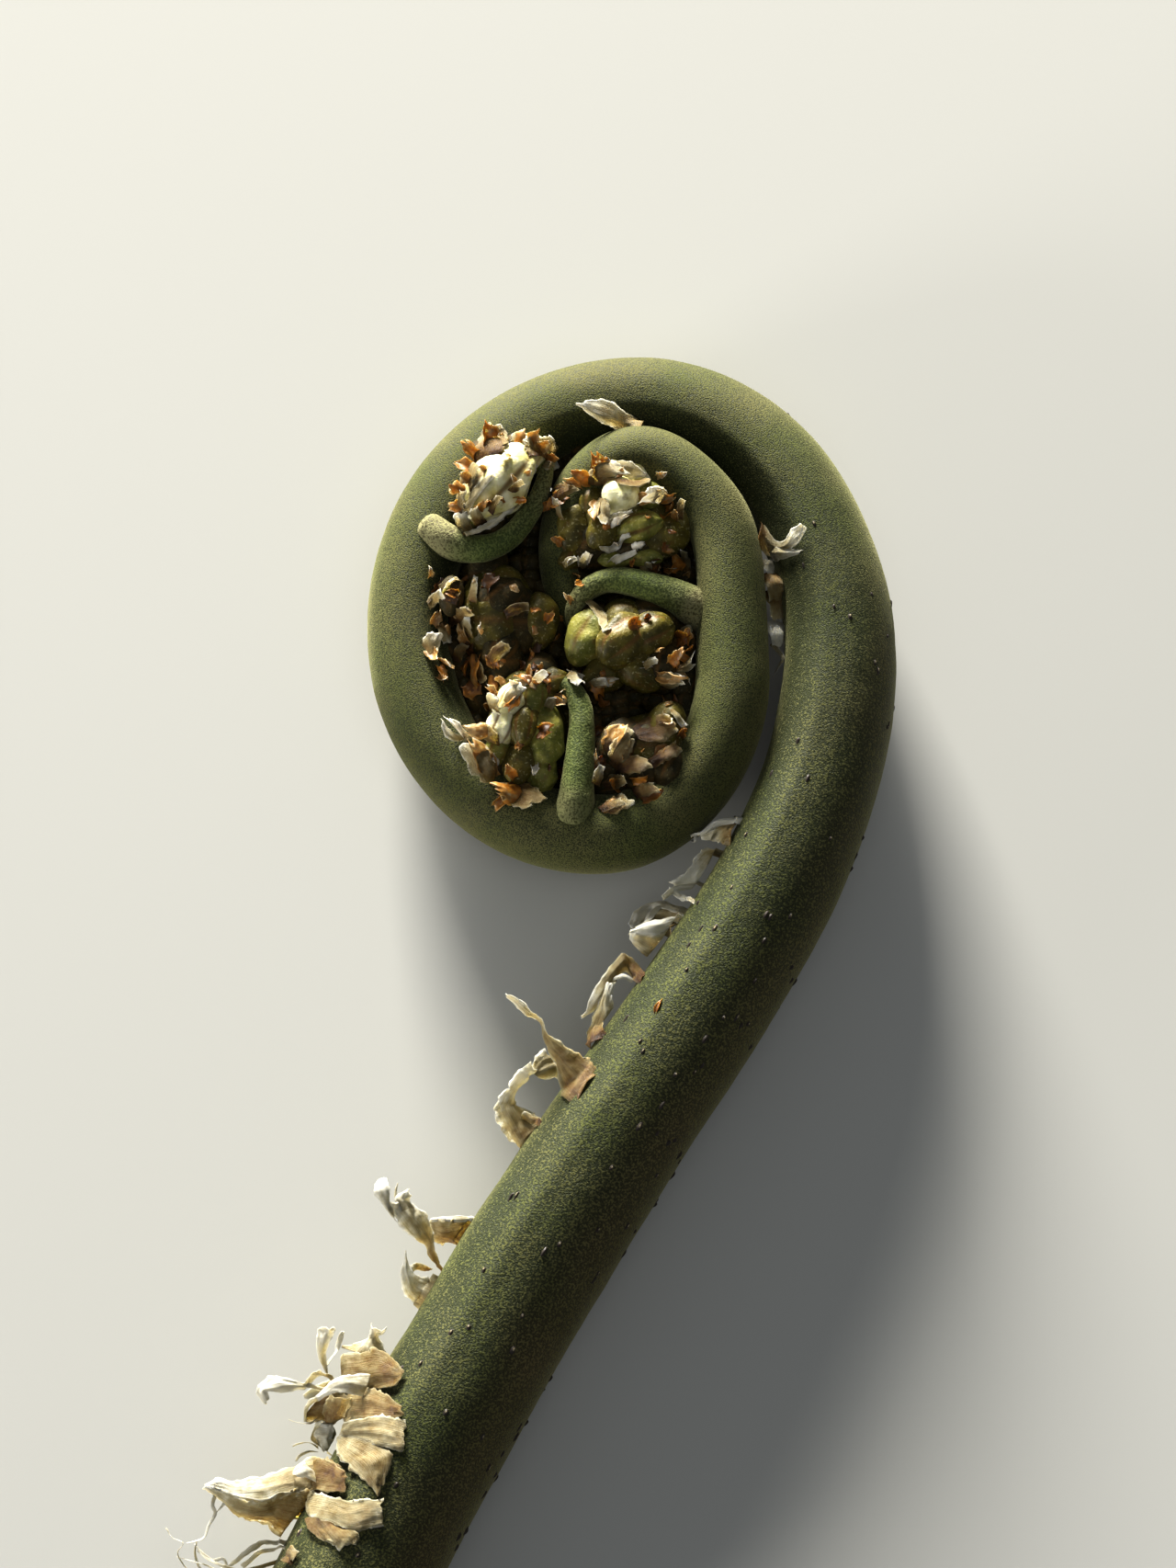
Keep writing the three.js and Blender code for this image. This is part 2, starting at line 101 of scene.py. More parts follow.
# The photograph's camera, in the drawing's frame.
PIXEL = 0.135
RISE = math.radians(75)
AIM = np.array([-6.48, -25.714, 0.0])
REACH = 640.0
MIDDLE_PIXEL = (640, 853)
VIEW = np.array([0, -math.cos(RISE), math.sin(RISE)])
RIGHT = np.array([1.0, 0, 0])
PICTURE_UP = np.cross(VIEW, RIGHT)
EYE = AIM + REACH * VIEW


# Arrays and noise.


def unit(v):
    v = np.asarray(v, float)
    return v / np.maximum(np.linalg.norm(v, axis=-1, keepdims=True), 1e-9)


def heading(degrees):
    a = np.radians(degrees)
    return np.stack([np.cos(a), np.sin(a), 0 * a], -1)


def stacked(*parts):
    """Parts brought to one shape and stacked along a new last axis."""
    return np.stack(np.broadcast_arrays(*parts), -1)


def circle(count):
    return np.linspace(0, 2 * math.pi, count + 1)[:-1]


def lattice(i, j, k, seed):
    h = (i * 374761393 + j * 668265263 + k * 1274126177 + seed * 1013904223) & 0xFFFFFFFF
    h = ((h ^ (h >> 13)) * 1274126177) & 0xFFFFFFFF
    return ((h ^ (h >> 16)) & 0xFFFF) / 32767.5 - 1.0


def noise(points, size, seed=0):
    """Smooth value noise from -1 to 1 at points in millimetres, with features of about that size."""
    q = np.asarray(points, float) / size
    cell = np.floor(q).astype(np.int64)
    f = q - cell
    f = f * f * (3 - 2 * f)
    total = 0
    for corner in range(8):
        step = np.array([corner & 1, corner >> 1 & 1, corner >> 2])
        weight = np.prod(np.where(step, f, 1 - f), axis=-1)
        at = cell + step
        total = total + weight * lattice(at[..., 0], at[..., 1], at[..., 2], seed)
    return total


def smooth(t):
    t = np.clip(t, 0, 1)
    return t * t * (3 - 2 * t)


def hump(x, middle, width):
    return np.exp(-(((x - middle) / width) ** 2))


def swell(points, layers):
    """Noise in layers, each with how far it reaches, the size of its features and its seed."""
    return sum(far * noise(points, size, seed) for far, size, seed in layers)


CURVE_STEPS = 12


def resample(points, count):
    """A smooth curve through points, sampled evenly."""
    points = np.asarray(points, float)
    padded = np.concatenate([[2 * points[0] - points[1]], points, [2 * points[-1] - points[-2]]])
    path = []
    for a, b, c, d in zip(padded, padded[1:], padded[2:], padded[3:]):
        t = np.linspace(0, 1, CURVE_STEPS, endpoint=False)[:, None]
        square, cube = 2 * a - 5 * b + 4 * c - d, 3 * b - a - 3 * c + d
        path.append(0.5 * (2 * b + (c - a) * t + square * t**2 + cube * t**3))
    path = np.concatenate([*path, points[-1:]])
    run = np.concatenate([[0], np.cumsum(np.linalg.norm(np.diff(path, axis=0), axis=1))])
    at = np.linspace(0, run[-1], count)
    return np.stack([np.interp(at, run, path[:, i]) for i in range(path.shape[1])], 1)


def pixel_point(px, py, z):
    """The point at height z that the photograph shows at a pixel."""
    across, up = (px - MIDDLE_PIXEL[0]) * PIXEL, (MIDDLE_PIXEL[1] - py) * PIXEL
    ray = -VIEW * REACH + RIGHT * across + PICTURE_UP * up
    return EYE + ray * ((z - EYE[2]) / ray[2])


# The midline of a limb.


# Where the inner turn stands outwards of its solid's midline, as the photograph shows it: how far, the
# place of the most of it and how soon it fades.
LEANS = [(2.0, 6.46, 0.24), (0.9, 7.0, 0.5)]
FINE = 200  # points of a path between two stations
STEM_FLAT = 0.1


def leaning(place):
    return sum(far * hump(place, middle, width) for far, middle, width in LEANS)


class Midline:
    def __init__(self, stations):
        self.rows = np.array([[*s[:5], s[5] if len(s) > 5 else FLAT] for s in stations])
        start, end = self.rows[:-1, :2], self.rows[1:, :2]
        ahead, behind = heading(self.rows[:-1, 3])[:, :2], heading(self.rows[1:, 3])[:, :2]
        turn = np.radians(np.diff(self.rows[:, 3]))
        share = 4 / 3 * np.tan(turn / 4) / np.sin(turn)
        chord = end - start
        first = start + ahead * (share * (chord * ahead).sum(1))[:, None]
        second = end - behind * (share * (chord * behind).sum(1))[:, None]
        self.handles = np.stack([start, first, second, end], 1)
        self.last = len(stations) - 1
        self.fine = np.linspace(0, self.last, self.last * FINE + 1)
        steps = np.linalg.norm(np.diff(self.at(self.fine)[0][:, :2], axis=0), axis=1)
        self.run = np.concatenate([[0], np.cumsum(steps)])

    def at(self, place):
        place = np.asarray(place, float)
        span = np.clip(place.astype(int), 0, self.last - 1)
        t = (place - span)[..., None]
        a, b, c, d = (self.handles[span, i] for i in range(4))
        m = 1 - t
        flat_centre = a * m**3 + 3 * b * m * m * t + 3 * c * m * t * t + d * t**3
        tangent = unit(3 * (b - a) * m * m + 6 * (c - b) * m * t + 3 * (d - c) * t * t)
        low, high = self.rows[span], self.rows[span + 1]
        t = t[..., 0]
        z = low[..., 2] + (high[..., 2] - low[..., 2]) * smooth(t)
        radius = low[..., 4] + (high[..., 4] - low[..., 4]) * t
        flat = low[..., 5] + (high[..., 5] - low[..., 5]) * t
        centre = np.concatenate([flat_centre, z[..., None]], -1)
        ahead = np.concatenate([tangent, 0 * z[..., None]], -1)
        inward = np.stack([-tangent[..., 1], tangent[..., 0], 0 * z], -1)
        return centre - leaning(place)[..., None] * inward, ahead, inward, radius, flat

    def along(self, place):
        return np.interp(place, self.fine, self.run)

    def place(self, along):
        return np.interp(along, self.run, self.fine)

    def step(self, place, length):
        span = min(int(place), self.last - 1)
        return length / (self.along(span + 1) - self.along(span))

    def surface(self, place, angle, out=0.0):
        """The skin's point at a place and an angle from the middle of the inner face, in radians."""
        centre, ahead, inward, radius, flat = self.at(place)
        facing = np.maximum(0, np.cos(angle))
        turned = np.arctan2(np.sin(angle), np.cos(angle))
        groove = GROOVE_DEPTH * np.exp(-((turned / math.radians(GROOVE_WIDTH)) ** 2))
        reach = radius * (1 - flat * facing * facing - groove) + out
        return centre + (reach * np.cos(angle))[..., None] * inward + (reach * np.sin(angle))[..., None] * UP


class Traced(Midline):
    """The midline of a stem, through points in a row with a radius each. Its places run from 0 to 1."""

    last = 1.0

    def __init__(self, points, radii):
        self.fine = np.linspace(0, 1, 2 * FINE + 1)
        self.rows = resample(np.column_stack([points, radii]), 2 * FINE + 1)
        self.heads = unit(np.gradient(self.rows[:, :2], axis=0))
        steps = np.linalg.norm(np.diff(self.rows[:, :3], axis=0), axis=1)
        self.run = np.concatenate([[0], np.cumsum(steps)])

    def at(self, place):
        place = np.asarray(place, float)
        row = np.stack([np.interp(place, self.fine, column) for column in self.rows.T], -1)
        tangent = unit(np.stack([np.interp(place, self.fine, column) for column in self.heads.T], -1))
        none = 0 * row[..., 3]
        ahead = np.concatenate([tangent, none[..., None]], -1)
        inward = np.stack([-tangent[..., 1], tangent[..., 0], none], -1)
        return row[..., :3], ahead, inward, row[..., 3], none + STEM_FLAT


limb = Midline(LIMB)


# The lower side is the upper one turned about the coil's middle, a little smaller and upside down.
LOWER_TURN = 9
LOWER_SIZE = 0.97
LOWER_DEPTH = -0.98


def to_lower(points):
    """Points of the upper side carried to the lower one."""
    points = np.array(points, float)
    a = math.radians(LOWER_TURN)
    x, y = np.moveaxis(points[..., :2] - COIL_MIDDLE, -1, 0) * LOWER_SIZE
    points[..., 0] = COIL_MIDDLE[0] + x * math.cos(a) - y * math.sin(a)
    points[..., 1] = COIL_MIDDLE[1] + x * math.sin(a) + y * math.cos(a)
    points[..., 2] *= LOWER_DEPTH
    return points


stems = {}
for name, rows in STEMS.items():
    points = np.array([pixel_point(px, py, z) for px, py, z, _ in rows])
    radii = [row[3] for row in rows]
    stems[name] = Traced(points, radii)
    stems[name + "_lower"] = Traced(to_lower(points), radii)

# The shift from the drawing to the part, from the corner of the lowest stretch of the stalk.
LOWEST_END = 0.62  # the place where the lowest stretch of the stalk ends
SOLID_RINGS = 9
SOLID_SIDES = 16
corner_places = np.linspace(0, LOWEST_END - limb.step(0, GAP / 2), SOLID_RINGS)[:, None]
corner_places, corner_angles = np.broadcast_arrays(corner_places, circle(SOLID_SIDES)[None])
low_corner = limb.surface(corner_places, corner_angles).reshape(-1, 3).min(0)
SHIFT = np.array(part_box("stalk_lower")[0]) * 1000 - low_corner


def place_of(points):
    return (np.asarray(points, float) + SHIFT) * 0.001


FLOOR_CLEAR = 0.35


def pressed(points):
    """What would reach the floor is pressed together just above it."""
    points = np.array(points, float)
    low = points[:, 2] + SHIFT[2]
    squeezed = FLOOR_CLEAR * np.exp(np.minimum(low - FLOOR_CLEAR, 0) / FLOOR_CLEAR)
    points[:, 2] = np.where(low < FLOOR_CLEAR, squeezed, low) - SHIFT[2]
    return points


# Meshes.


class Soup:
    """Pieces of one mesh: points, faces of three or four corners, a material and a map for each."""

    def __init__(self):
        self.points, self.faces, self.slots, self.maps, self.count = [], [], [], [], 0

    def add(self, points, faces, slots=0, maps=None):
        points = np.asarray(points, float).reshape(-1, 3)
        faces = np.asarray(faces)
        if faces.shape[1] == 3:
            faces = np.column_stack([faces, np.full(len(faces), -1)])
        self.points.append(points)
        self.faces.append(np.where(faces >= 0, faces + self.count, -1))
        self.slots.append(np.broadcast_to(slots, len(faces)))
        maps = np.zeros((len(points), 2)) if maps is None else np.asarray(maps, float).reshape(-1, 2)
        self.maps.append(maps)
        self.count += len(points)

    def all(self):
        return (np.concatenate(x) for x in (self.points, self.faces, self.slots, self.maps))


def grid_faces(rows, cols, around=False):
    row = np.arange(rows - 1)[:, None] * cols
    col = np.arange(cols if around else cols - 1)[None]
    following = (col + 1) % cols if around else col + 1
    quads = [row + col, row + following, row + cols + following, row + cols + col]
    return np.stack([q.ravel() for q in np.broadcast_arrays(*quads)], 1)


def mesh_object(name, soup, materials, normals=None, attributes=None, map_name="Along"):
    points, faces, slots, maps = soup.all()
    mesh = bpy.data.meshes.new(name)
    mesh.vertices.add(len(points))
    mesh.vertices.foreach_set("co", place_of(pressed(points)).astype(np.float32).ravel())
    corners = faces.ravel()
    corners = corners[corners >= 0].astype(np.int32)
    sizes = np.where(faces[:, 3] < 0, 3, 4)
    starts = np.concatenate([[0], np.cumsum(sizes)[:-1]]).astype(np.int32)
    mesh.loops.add(len(corners))
    mesh.loops.foreach_set("vertex_index", corners)
    mesh.polygons.add(len(faces))
    mesh.polygons.foreach_set("loop_start", starts)
    mesh.polygons.foreach_set("material_index", slots.astype(np.int32))
    mesh.polygons.foreach_set("use_smooth", np.ones(len(faces), bool))
    mesh.update(calc_edges=True)
    layer = mesh.uv_layers.new(name=map_name)
    layer.uv.foreach_set("vector", maps[corners].astype(np.float32).ravel())
    for key, values in (attributes or {}).items():
        attribute = mesh.attributes.new(key, "FLOAT", "POINT")
        attribute.data.foreach_set("value", np.asarray(values, np.float32).ravel())
    for item in materials:
        mesh.materials.append(item)
    if normals is not None:
        mesh.normals_split_custom_set_from_vertices(normals.reshape(-1, 3).astype(np.float32))
    piece = bpy.data.objects.new(name, mesh)
    bpy.context.scene.collection.objects.link(piece)
    return piece


def settle(piece, nodes=()):
    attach(piece, "root")
    if nodes:
        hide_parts(*nodes)
    return piece


# Materials.


def colour(r, g, b):
    """A linear colour, from values up to 255 as a screen shows them."""
    linear = (((c / 255 + 0.055) / 1.055) ** 2.4 if c > 10 else c / 255 / 12.92 for c in (r, g, b))
    return (*linear, 1.0)


def dimmed(shade, share):
    return (*(share * c for c in shade[:3]), 1)


class Shader:
    """A material's nodes, written as short calls."""

    def __init__(self, name, **fixed):
        self.material = bpy.data.materials.new(name)
        self.material.use_nodes = True
        self.tree = self.material.node_tree
        self.tree.nodes.clear()
        out = self.tree.nodes.new("ShaderNodeOutputMaterial")
        self.surface = self.tree.nodes.new("ShaderNodeBsdfPrincipled")
        self.tree.links.new(self.surface.outputs[0], out.inputs[0])
        for key, value in fixed.items():
            self.surface.inputs[key.replace("_", " ")].default_value = value
        self.object = self.tree.nodes.new("ShaderNodeTexCoord").outputs["Object"]

    def node(self, kind, values=None, **settings):
        made = self.tree.nodes.new(kind)
        for key, value in settings.items():
            setattr(made, key, value)
        for key, value in (values or {}).items():
            if isinstance(value, bpy.types.NodeSocket):
                self.tree.links.new(value, made.inputs[key])
            else:
                made.inputs[key].default_value = value
        return made

    def noise(self, scale, detail=2.0, rough=0.5, vector=None, distortion=0.0):
        values = {"Vector": vector or self.object, "Scale": scale, "Detail": detail, "Roughness": rough}
        values["Distortion"] = distortion
        return self.node("ShaderNodeTexNoise", values).outputs["Fac"]

    def math(self, operation, a, b=0.0, c=0.0):
        return self.node("ShaderNodeMath", {0: a, 1: b, 2: c}, operation=operation).outputs[0]

    def mix(self, share, a, b):
        values = {"Factor": share, 6: a, 7: b}
        return self.node("ShaderNodeMix", values, data_type="RGBA").outputs[2]

    def spread(self, value, low, high, to_low=0.0, to_high=1.0):
        values = {0: value, 1: low, 2: high, 3: to_low, 4: to_high}
        return self.node("ShaderNodeMapRange", values, interpolation_type="SMOOTHSTEP").outputs[0]

    def attribute(self, name):
        return self.node("ShaderNodeAttribute", attribute_name=name).outputs["Fac"]

    def along(self):
        """The map Along, and its first number by itself."""
        uv = self.node("ShaderNodeUVMap", uv_map="Along").outputs[0]
        return uv, self.node("ShaderNodeSeparateXYZ", {0: uv}).outputs[0]

    def ramp(self, value, stops):
        made = self.node("ShaderNodeValToRGB", {0: value})
        points = made.color_ramp.elements
        while len(points) < len(stops):
            points.new(0.5)
        for point, (position, shade) in zip(points, stops):
            point.position = position
            point.color = shade
        return made.outputs[0]

    def finish(self, base=None, rough=None, height=None, strength=0.5, depth=0.0001):
        if base is not None:
            self.tree.links.new(base, self.surface.inputs["Base Color"])
        if rough is not None:
            self.tree.links.new(rough, self.surface.inputs["Roughness"])
        if height is not None:
            values = {"Height": height, "Strength": strength, "Distance": depth}
            bump = self.node("ShaderNodeBump", values).outputs[0]
            self.tree.links.new(bump, self.surface.inputs["Normal"])
        return self.material


GRANULES = 3000.0  # of the felt, to a metre


def felted_skin(name, under, felt, warm_felt):
    """Green skin under a coat of pale granules, finer where the attribute close is 1. The attributes felt
    and warm say how much of each."""
    s = Shader(
        name,
        Sheen_Weight=0.4,
        Sheen_Roughness=0.35,
        Sheen_Tint=colour(220, 217, 166),
        Specular_IOR_Level=0.25,
    )
    coarse_grain, close_grain = s.noise(GRANULES, 1.0), s.noise(GRANULES * 1.6, 1.0)
    finer = s.math("SUBTRACT", close_grain, coarse_grain)
    fine = s.math("MULTIPLY_ADD", finer, s.attribute("close"), coarse_grain)
    dust = s.noise(GRANULES * 1.9, 1.0)
    middle = s.noise(900.0, 2.0)
    broad = s.noise(90.0, 2.0)
    cover = s.math("MULTIPLY_ADD", s.attribute("felt"), 0.34, -0.19)
    level = s.math("ADD", s.math("MULTIPLY_ADD", middle, 0.08, -0.04), s.math("ADD", fine, cover))
    mask = s.spread(level, 0.46, 0.62)
    haze = s.spread(s.math("ADD", dust, cover), 0.38, 0.78, 0.0, 0.42)
    ground = s.mix(broad, under[0], under[1])
    ground = s.mix(s.math("MULTIPLY", s.attribute("warm"), 0.8), ground, colour(64, 52, 26))
    coat = s.mix(s.spread(broad, 0.3, 0.7), felt[0], felt[1])
    coat = s.mix(s.math("MULTIPLY", s.attribute("warm"), 0.5), coat, warm_felt)
    shown = s.mix(s.math("MAXIMUM", mask, haze), ground, coat)
    return s.finish(shown, s.spread(mask, 0, 1, 0.6, 0.9), s.math("ADD", fine, dust), 0.9, 0.00012)


skin_look = felted_skin(
    "felted_skin",
    (colour(25, 35, 8), colour(35, 41, 12)),
    (colour(86, 91, 49), colour(99, 98, 61)),
    colour(112, 94, 66),
)
stem_look = felted_skin(
    "felted_stem",
    (colour(56, 70, 26), colour(66, 76, 34)),
    (colour(100, 112, 60), colour(114, 120, 74)),
    colour(158, 146, 118),
)


# From the brown root of a scale to its white tip.
PAPER_STOPS = [
    (0.0, colour(38, 22, 8)),
    (0.15, colour(76, 48, 18)),
    (0.3, colour(106, 81, 36)),
    (0.46, colour(128, 111, 71)),
    (0.7, colour(157, 147, 115)),
    (0.98, colour(212, 207, 190)),
]


def paper_look():
    """Dry paper with fine lines. The map Along holds the tone and the share of the width."""
    s = Shader(
        "papery_scale",
        Subsurface_Weight=0.45,
        Subsurface_Scale=0.0005,
        Subsurface_Radius=(1.0, 0.86, 0.6),
        Specular_IOR_Level=0.4,
    )
    along, drawn_tone = s.along()
    ribs = s.node("ShaderNodeMapping", {"Vector": along, "Scale": (2.0, 46.0, 1.0)}).outputs[0]
    lines = s.noise(1.0, 4.0, 0.65, ribs, 0.8)
    cloud = s.noise(560.0, 3.0, 0.6)
    crinkle = s.noise(2200.0, 2.0)
    tone = s.math("MULTIPLY_ADD", cloud, 0.7, s.math("SUBTRACT", drawn_tone, 0.55))
    tone = s.math("MULTIPLY_ADD", lines, 0.46, tone)
    height = s.math("ADD", cloud, s.math("MULTIPLY", crinkle, 0.5))
    height = s.math("ADD", s.math("MULTIPLY", lines, 1.4), height)
    rough = s.spread(crinkle, 0.3, 0.7, 0.4, 0.66)
    return s.finish(s.ramp(tone, PAPER_STOPS), rough, height, 0.8, 0.00018)


PAPER = paper_look()


def plain_flake(name, shade):
    s = Shader(name, Subsurface_Weight=0.3, Subsurface_Scale=0.0003, Subsurface_Radius=(1.0, 0.75, 0.45))
    cloud = s.noise(1300.0, 2.0)
    base = s.mix(s.spread(cloud, 0.3, 0.75), dimmed(shade, 0.6), shade)
    return s.finish(base, s.spread(cloud, 0.2, 0.8, 0.3, 0.55), cloud, 0.5, 0.00015)


FLAKES = [
    plain_flake("flake_umber", colour(78, 47, 15)),
    plain_flake("flake_brown", colour(122, 78, 26)),
    plain_flake("flake_amber", colour(170, 114, 40)),
    plain_flake("flake_tan", colour(170, 130, 72)),
    plain_flake("flake_cream", colour(198, 168, 120)),
    plain_flake("flake_white", colour(222, 214, 198)),
]


def pod_look(name, low, high, rough, coat=0.1, specks=0.35):
    """A furled leaflet's look. The map Along says how deep in a seam a point lies."""
    s = Shader(
        name,
        Subsurface_Weight=0.3,
        Subsurface_Scale=0.0009,
        Subsurface_Radius=(0.8, 0.9, 0.35),
        Coat_Weight=coat,
        Coat_Roughness=0.3,
        Specular_IOR_Level=0.28,
    )
    seam = s.along()[1]
    broad = s.noise(420.0, 3.0)
    fine = s.noise(2300.0, 2.0)
    base = s.mix(s.spread(broad, 0.32, 0.68), low, high)
    speck = s.mix(s.spread(fine, 0.58, 0.72, 0.0, specks), base, colour(214, 206, 160))
    spots = s.spread(s.noise(700.0, 3.0), 0.56, 0.74, 0.0, 0.45)
    stain = s.math("MAXIMUM", spots, s.spread(seam, 0.25, 0.9, 0.0, 0.8))
    shown = s.mix(stain, speck, colour(112, 80, 34))
    roughness = s.spread(fine, 0.2, 0.8, rough, rough + 0.25)
    return s.finish(shown, roughness, s.math("ADD", fine, broad), 0.6, 0.00018)


# Looks of the pods: cream, green, olive, and last a darker copy of them that is painted shade, for pods and
# lumps that lie in shade.
POD_LOOKS = [
    pod_look("pod_cream", colour(208, 200, 132), colour(248, 244, 208), 0.3),
    pod_look("pod_green", colour(94, 98, 36), colour(146, 142, 68), 0.44, 0.08),
    pod_look("pod_olive", colour(66, 60, 12), colour(104, 94, 30), 0.46, 0.08),
    pod_look("pod_shade", colour(38, 35, 10), colour(66, 54, 20), 0.6, 0.0, 0.12),
]
POD_OLIVE = 2
POD_PAINTED_SHADE = 3


# The stalk and coil: one skin with relief, in three pieces.


def limb_rows(midline, start, end, step):
    first, last = midline.along(start), midline.along(end)
    count = max(2, int(round((last - first) / step)))
    return midline.place(np.linspace(first, last, count + 1))


def skin_grid(midline, places, sides, relief, flare=None):
    """Points and angles of a limb's skin. The last column repeats the first."""
    angles = np.linspace(-math.pi, math.pi, sides + 1)
    place, angle = np.broadcast_arrays(places[:, None], angles[None])
    points = midline.surface(place, angle)
    centre = midline.at(place)[0]
    radius = midline.at(places)[3][:, None]
    out = relief(points, np.degrees(angle), radius)
    if flare is not None:
        out = out + radius * flare[:, None]
    points = points + unit(points - centre) * out[..., None]
    points[:, -1] = points[:, 0]
    return points, angle


NEARLY_SHUT = 0.02


def dome(edge, centre, ahead, radius, count, bulge=1.0):
    """The rings of a round end beyond an edge ring, nearly shut at the last."""
    rings = []
    for k in range(1, count + 1):
        a = k / count * math.pi / 2
        flat = (edge - centre) * max(math.cos(a), NEARLY_SHUT)
        rings.append(centre + flat + ahead * radius * math.sin(a) * bulge)
    return np.array(rings)


def unrolled(rows, cols):
    """A map of a grid that runs from 0 to 1 both ways."""
    return stacked(np.linspace(0, 1, rows)[:, None], np.linspace(0, 1, cols)[None])


def grid_normals(points, around=True):
    ahead = np.gradient(points, axis=0)
    if around:
        ring = points[:, :-1]
        side = np.roll(ring, -1, 1) - np.roll(ring, 1, 1)
        side = np.concatenate([side, side[:, :1]], 1)
        ahead[:, -1] = ahead[:, 0]
    else:
        side = np.gradient(points, axis=1)
    return unit(np.cross(side, ahead))


STALK_SWELLS = [(0.2, 13, 1), (0.05, 4.2, 2), (0.02, 1.4, 3)]


def stalk_relief(points, degrees, radius):
    """Swells, and on the stout part a ridge with a hollow beside it down each flank."""
    side = np.abs(degrees)
    ridge = 0.022 * radius * hump(side, 74, 9) - 0.026 * radius * hump(side, 48, 14)
    return radius / 9 * swell(points, STALK_SWELLS) + ridge * smooth((radius - 6.2) / 1.0)


def felt_cover(points, degrees, places):
    """How thickly the felt lies: more in the groove, on the back and on the coil, less on the flanks."""
    side = np.abs(degrees)
    inner = smooth((places - 4.6) / 0.9)[:, None]
    coil = smooth((places - 1.9) / 0.8)[:, None]
    cover = 0.52 + 0.2 * hump(side, 6, 24) - 0.2 * hump(side, 44, 16) + 0.14 * smooth((side - 140) / 30)
    cover = cover + coil * (0.26 * smooth((side - 56) / 26) - 0.06)
    streak = noise(stacked(degrees / 6.5, limb.along(places)[:, None] / 15, 0.0), 1, 12)
    cover = cover + 0.06 * streak + 0.04 * noise(points, 9, 5)
    return cover * (1 - inner) + (0.78 + 0.06 * noise(points, 7, 7)) * inner


def warmth(points, degrees, places):
    """How brown the skin is: most on the back of the stalk's foot."""
    low = 1 - smooth((places - 0.2) / 2.6)[:, None]
    band = smooth((np.abs(degrees) - 92) / 50)
    return np.clip(0.75 * low * band + 0.16 * noise(points, 8, 8) + 0.12 * band - 0.04, 0, 1)


SIDES = 144
TIP_RINGS = 8
# The places where the three pieces of skin begin and end, and the lengths of their faces in millimetres.
CUTS = [0.0, 2.0, 4.35, 11.0]
STEPS = [0.42, 0.4, 0.34]
rows = [limb_rows(limb, start, end, step) for start, end, step in zip(CUTS, CUTS[1:], STEPS)]
places = np.concatenate([rows[0], rows[1][1:], rows[2][1:]])
skin, skin_angles = skin_grid(limb, places, SIDES, stalk_relief)
centres, aheads, _, radii, _ = limb.at(places)
# The furled end is closed by a round tip.
skin = np.concatenate([skin, dome(skin[-1], centres[-1], aheads[-1], radii[-1], TIP_RINGS)])
places = np.pad(places, (0, TIP_RINGS), mode="edge")
degrees_around = np.degrees(np.pad(skin_angles, ((0, TIP_RINGS), (0, 0)), mode="edge"))
skin_normals = grid_normals(skin)
felt = felt_cover(skin, degrees_around, places)
warm = warmth(skin, degrees_around, places)
close = smooth((places - 1.2) / 1.6)[:, None] + 0 * felt

SKIN_NODES = {
    "skin_stalk": ("stalk_lower", "stalk_upper", "stalk_bend"),
    "skin_coil": ("coil_right", "coil_top", "coil_left"),
    "skin_inner": ("coil_bottom", "coil_foot", "inner_right", "inner_top", "inner_left", "coil_tip"),
}
first = 0
for (name, nodes), row in zip(SKIN_NODES.items(), rows):
    last = first + len(row) if name != "skin_inner" else len(skin)
    part = slice(first, last)
    soup = Soup()
    soup.add(skin[part], grid_faces(last - first, SIDES + 1), 0, unrolled(last - first, SIDES + 1))
    attributes = {"felt": felt[part], "warm": warm[part], "close": close[part]}
    piece = mesh_object(name, soup, [skin_look], skin_normals[part], attributes, "OFBake")
    settle(piece, nodes)
    first = last - 1


# The cut end: pale tissue with a dark rim and the dots of its veins.


def cut_look():
    s = Shader("cut_tissue", Subsurface_Weight=0.15, Subsurface_Scale=0.001)
    ring = s.attribute("rim")
    fibre = s.noise(2400.0, 3.0)
    broad = s.noise(260.0, 2.0)
    pale = s.mix(s.spread(broad, 0.3, 0.7), colour(170, 160, 98), colour(206, 198, 142))
    flesh = s.mix(s.spread(fibre, 0.45, 0.75, 0, 0.6), pale, colour(128, 122, 62))
    base = s.mix(s.spread(ring, 0.86, 0.97), flesh, colour(86, 66, 34))
    return s.finish(base, s.spread(fibre, 0.2, 0.8, 0.4, 0.7), fibre, 0.6, 0.0002)


CUT = cut_look()
VEIN = pod_look("vein_dots", colour(54, 34, 18), colour(104, 72, 38), 0.5)
FACE_RINGS = 26
VEINS = 22
VEIN_CORNERS = 12
VEIN_RING = 0.66  # the veins' arc, as a share of the stalk's radius
edge = skin[0]
centre, ahead, inward, radius, _ = limb.at(0.0)
shares = np.linspace(0.02, 1, FACE_RINGS)
face = centre + (edge[None] - centre) * shares[:, None, None]
bulge = 0.22 * noise(face, 2.4, 9) * (1 - shares[:, None] ** 6) - 0.25 * (1 - shares[:, None] ** 8)
soup = Soup()
soup.add(face + ahead * bulge[..., None], grid_faces(FACE_RINGS, SIDES + 1), 0)
rims = [np.repeat(shares, SIDES + 1)]
ring = circle(VEIN_CORNERS)[:, None]
fan = [[i, (i + 1) % VEIN_CORNERS, VEIN_CORNERS] for i in range(VEIN_CORNERS)]
